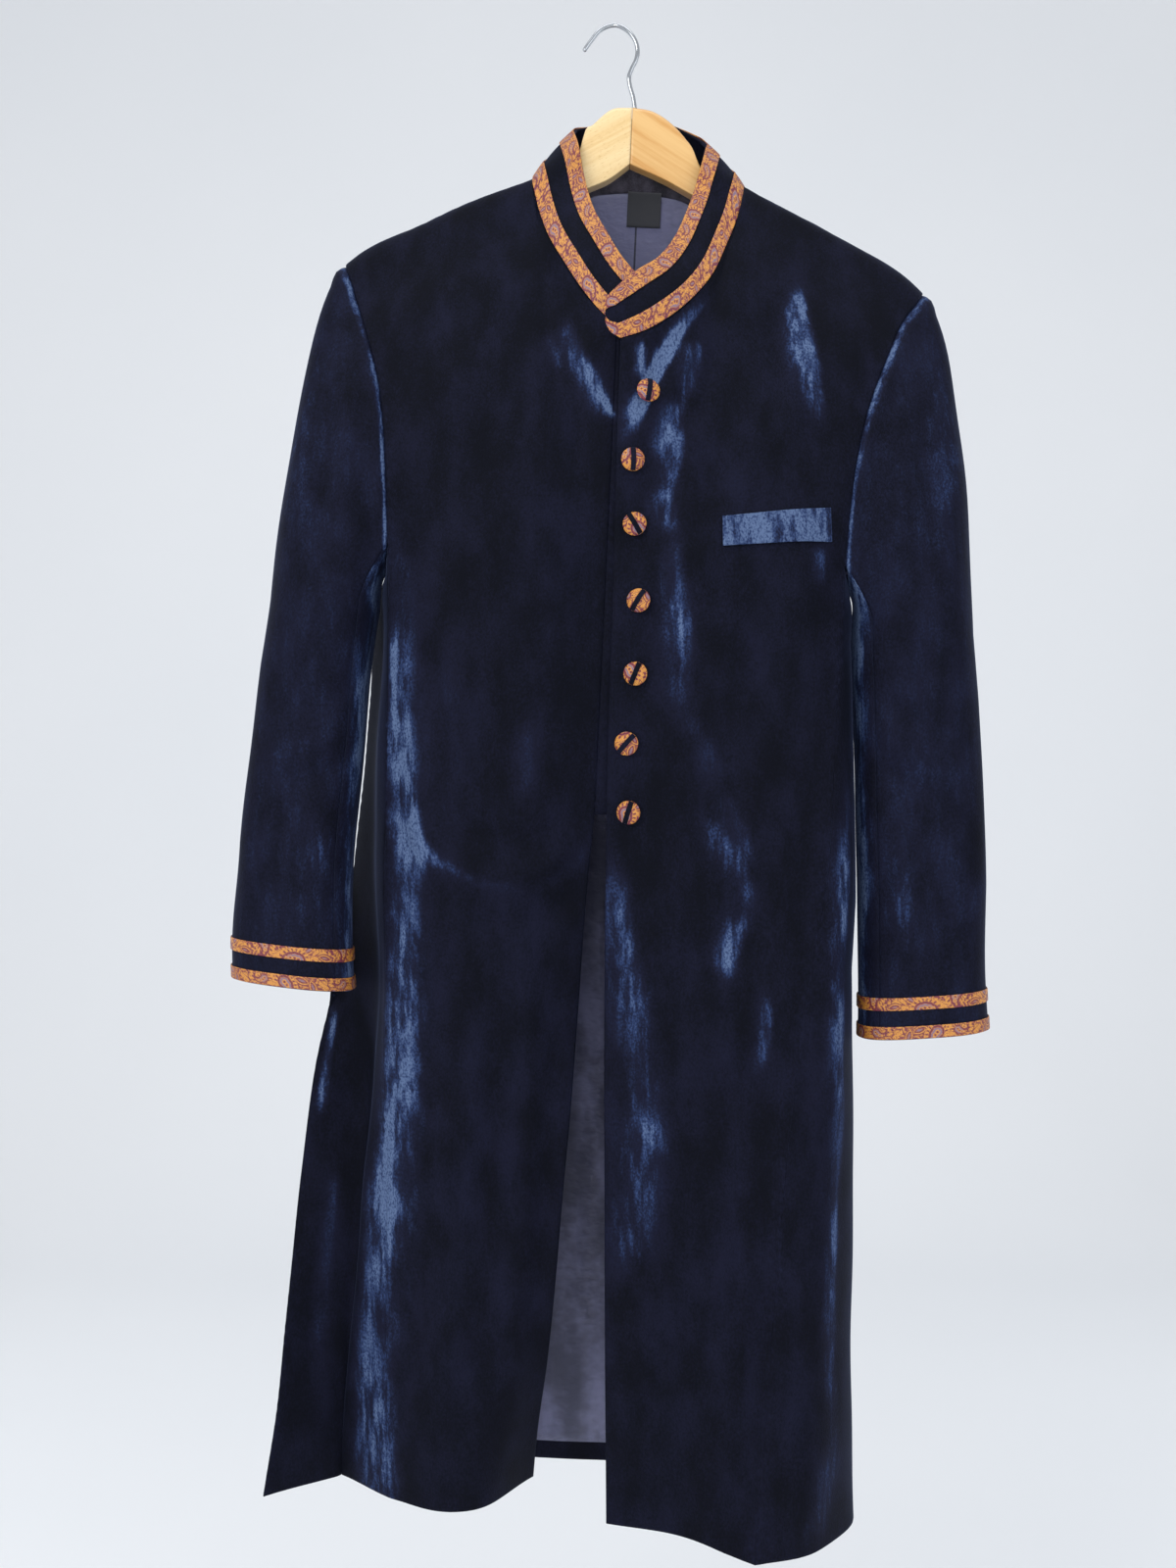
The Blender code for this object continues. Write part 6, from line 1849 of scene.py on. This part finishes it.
class SHERWANI_OT_sleeves(bpy.types.Operator):
    """Builds both sleeves with the brocade strips of their cuffs."""

    bl_idname = "sherwani.sleeves"
    bl_label = "Sleeves and cuffs"

    def execute(self, context):
        for half in (LEFT, RIGHT):
            build_sleeve(half)
        return {"FINISHED"}


class SHERWANI_OT_collar(bpy.types.Operator):
    """Builds the standing collar and its brocade strips."""

    bl_idname = "sherwani.collar"
    bl_label = "Collar"

    def execute(self, context):
        for half in (LEFT, RIGHT):
            build_collar(half)
        return {"FINISHED"}


class SHERWANI_OT_inside(bpy.types.Operator):
    """Builds the neck facing, the back lining and the bare label."""

    bl_idname = "sherwani.inside"
    bl_label = "Inside"

    def execute(self, context):
        build_inside()
        return {"FINISHED"}


class SHERWANI_OT_trimmings(bpy.types.Operator):
    """Builds the breast welt and the seven covered buttons."""

    bl_idname = "sherwani.trimmings"
    bl_label = "Welt and buttons"

    def execute(self, context):
        build_welt()
        build_buttons(context.scene.sherwani_sizes.button_radius / MM)
        return {"FINISHED"}


class SHERWANI_OT_hanger(bpy.types.Operator):
    """Builds the pine hanger and its wire hook."""

    bl_idname = "sherwani.hanger"
    bl_label = "Hanger"

    def execute(self, context):
        build_hanger()
        build_hook(context.scene.sherwani_sizes.hook_wire / MM)
        return {"FINISHED"}


class SHERWANI_OT_stage(bpy.types.Operator):
    """Sets up the pale floor and wall, the soft lights and the camera."""

    bl_idname = "sherwani.stage"
    bl_label = "Stage"

    def execute(self, context):
        build_stage()
        place_camera(context, context.scene.sherwani_sizes.camera_distance)
        return {"FINISHED"}


OPERATORS = (SHERWANI_OT_body, SHERWANI_OT_sleeves, SHERWANI_OT_collar, SHERWANI_OT_inside,
             SHERWANI_OT_trimmings, SHERWANI_OT_hanger, SHERWANI_OT_stage)


class SHERWANI_PT_panel(bpy.types.Panel):
    """Lists the coat's sizes, colours and pieces."""

    bl_label = "Sherwani"
    bl_idname = "SHERWANI_PT_panel"
    bl_space_type = "VIEW_3D"
    bl_region_type = "UI"
    bl_category = "Sherwani"

    def draw(self, context):
        for group in (context.scene.sherwani_sizes, context.scene.sherwani_colours):
            for key in group.bl_rna.properties.keys():
                if key not in ("rna_type", "name"):
                    self.layout.prop(group, key)
        for operator in OPERATORS:
            self.layout.operator(operator.bl_idname)


CLASSES = (SherwaniColours, SherwaniSizes, *OPERATORS, SHERWANI_PT_panel)


def register():
    for made in CLASSES:
        bpy.utils.register_class(made)
    bpy.types.Scene.sherwani_colours = PointerProperty(type=SherwaniColours)
    bpy.types.Scene.sherwani_sizes = PointerProperty(type=SherwaniSizes)


def unregister():
    del bpy.types.Scene.sherwani_sizes
    del bpy.types.Scene.sherwani_colours
    for made in reversed(CLASSES):
        bpy.utils.unregister_class(made)


# ---- stage

CAMERA_X, CAMERA_Z = -0.0224, -0.6176
LENS = 33.75           # on a sensor of 36 mm along the frame's long side
FLOOR_Z = -1.62
WALL_Y = 2.6
WALL_TOP_Z = 4.5
SWEEP_BEND = 0.8       # radius of the turn between floor and wall
SWEEP_FRONT_Y = -6.0
SWEEP_HALF = 16.0      # half its width
LIGHTS_AIM = (0.0, 0.0, -0.55)
SOFT_LIGHTS = table(
    "x y z wide tall power red green blue",
    (-1.5, -1.7, 0.35, 1.3, 1.3, 21, 1.0, 0.99, 0.97),
    (-0.1, -2.3, -0.7, 0.4, 0.4, 9, 1.0, 1.0, 1.0),
    (1.7, -1.9, -0.2, 1.6, 1.8, 11, 0.95, 0.97, 1.0),
    (0.0, -0.5, 1.4, 1.6, 1.0, 12, 1.0, 1.0, 1.0),
    (0.2, -2.4, -1.15, 1.8, 0.5, 2, 1.0, 1.0, 1.0),
    (-1.8, 0.9, -0.4, 0.5, 1.8, 4, 0.9, 0.95, 1.0),
    (1.8, 0.9, -0.4, 0.5, 1.8, 4, 0.9, 0.95, 1.0),
)


def painted_sweep():
    """Matt white paint of the studio's floor and wall, with a very slow change of tone."""
    made, add = finish("Pale studio sweep", Base_Color=linear("eef0f3"), Roughness=0.9)
    slow = add("TexNoise", add("TexCoord"), 1 / (900 * MM), 2.0)
    return wired(made, Base_Color=add("Mix", slow, linear("eceef1"), linear("f3f4f6")))


def build_stage():
    """Pale sweep of floor and wall, soft lamps all round and a pale sky."""
    turn = np.linspace(0, math.pi / 2, 16)
    bend = [(WALL_Y - SWEEP_BEND * (1 - math.sin(a)), FLOOR_Z + SWEEP_BEND * (1 - math.cos(a)))
            for a in turn]
    profile = [(SWEEP_FRONT_Y, FLOOR_Z), *bend, (WALL_Y, WALL_TOP_Z)]
    points = np.array([(x, y, z) for x in (-SWEEP_HALF, SWEEP_HALF) for y, z in profile])
    count = len(profile)
    faces = [(i, i + count, i + count + 1, i + 1) for i in range(count - 1)]
    mesh = bpy.data.meshes.new("studio_sweep")
    mesh.from_pydata(points.tolist(), [], faces)
    mesh.shade_smooth()
    sweep = bpy.data.objects.new("studio_sweep", mesh)
    bpy.context.scene.collection.objects.link(sweep)
    mesh.materials.append(painted_sweep())
    for number, row in enumerate(rows_of(SOFT_LIGHTS, "x y z wide tall power red green blue"), 1):
        data = bpy.data.lights.new(f"soft_light_{number}", "AREA")
        data.shape = "RECTANGLE"
        data.size, data.size_y, data.energy, *data.color = row[3:]
        lamp = bpy.data.objects.new(data.name, data)
        lamp.location = row[:3]
        away = Vector(row[:3]) - Vector(LIGHTS_AIM)
        lamp.rotation_euler = away.to_track_quat("Z", "Y").to_euler()
        bpy.context.scene.collection.objects.link(lamp)
    world = bpy.data.worlds.new("pale_studio")
    world.use_nodes = True
    sky = world.node_tree.nodes["Background"]
    sky.inputs["Color"].default_value = linear("eef1f5")
    sky.inputs["Strength"].default_value = 0.76
    bpy.context.scene.world = world
    bpy.context.scene.view_settings.view_transform = "Standard"


def place_camera(context, distance):
    """Level camera before the coat."""
    data = bpy.data.cameras.new("front_camera")
    data.sensor_width = 36.0
    data.lens = LENS * distance / SIZE_DEFAULTS["camera_distance"][2]
    camera = bpy.data.objects.new("front_camera", data)
    camera.location = (CAMERA_X, -distance, CAMERA_Z)
    camera.rotation_euler = (math.pi / 2, 0.0, 0.0)
    context.scene.collection.objects.link(camera)
    context.scene.camera = camera


# ---- making


def main():
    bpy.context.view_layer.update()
    register()
    for operator in OPERATORS:
        group, name = operator.bl_idname.split(".")
        getattr(getattr(bpy.ops, group), name)()


if __name__ == "__main__":
    main()
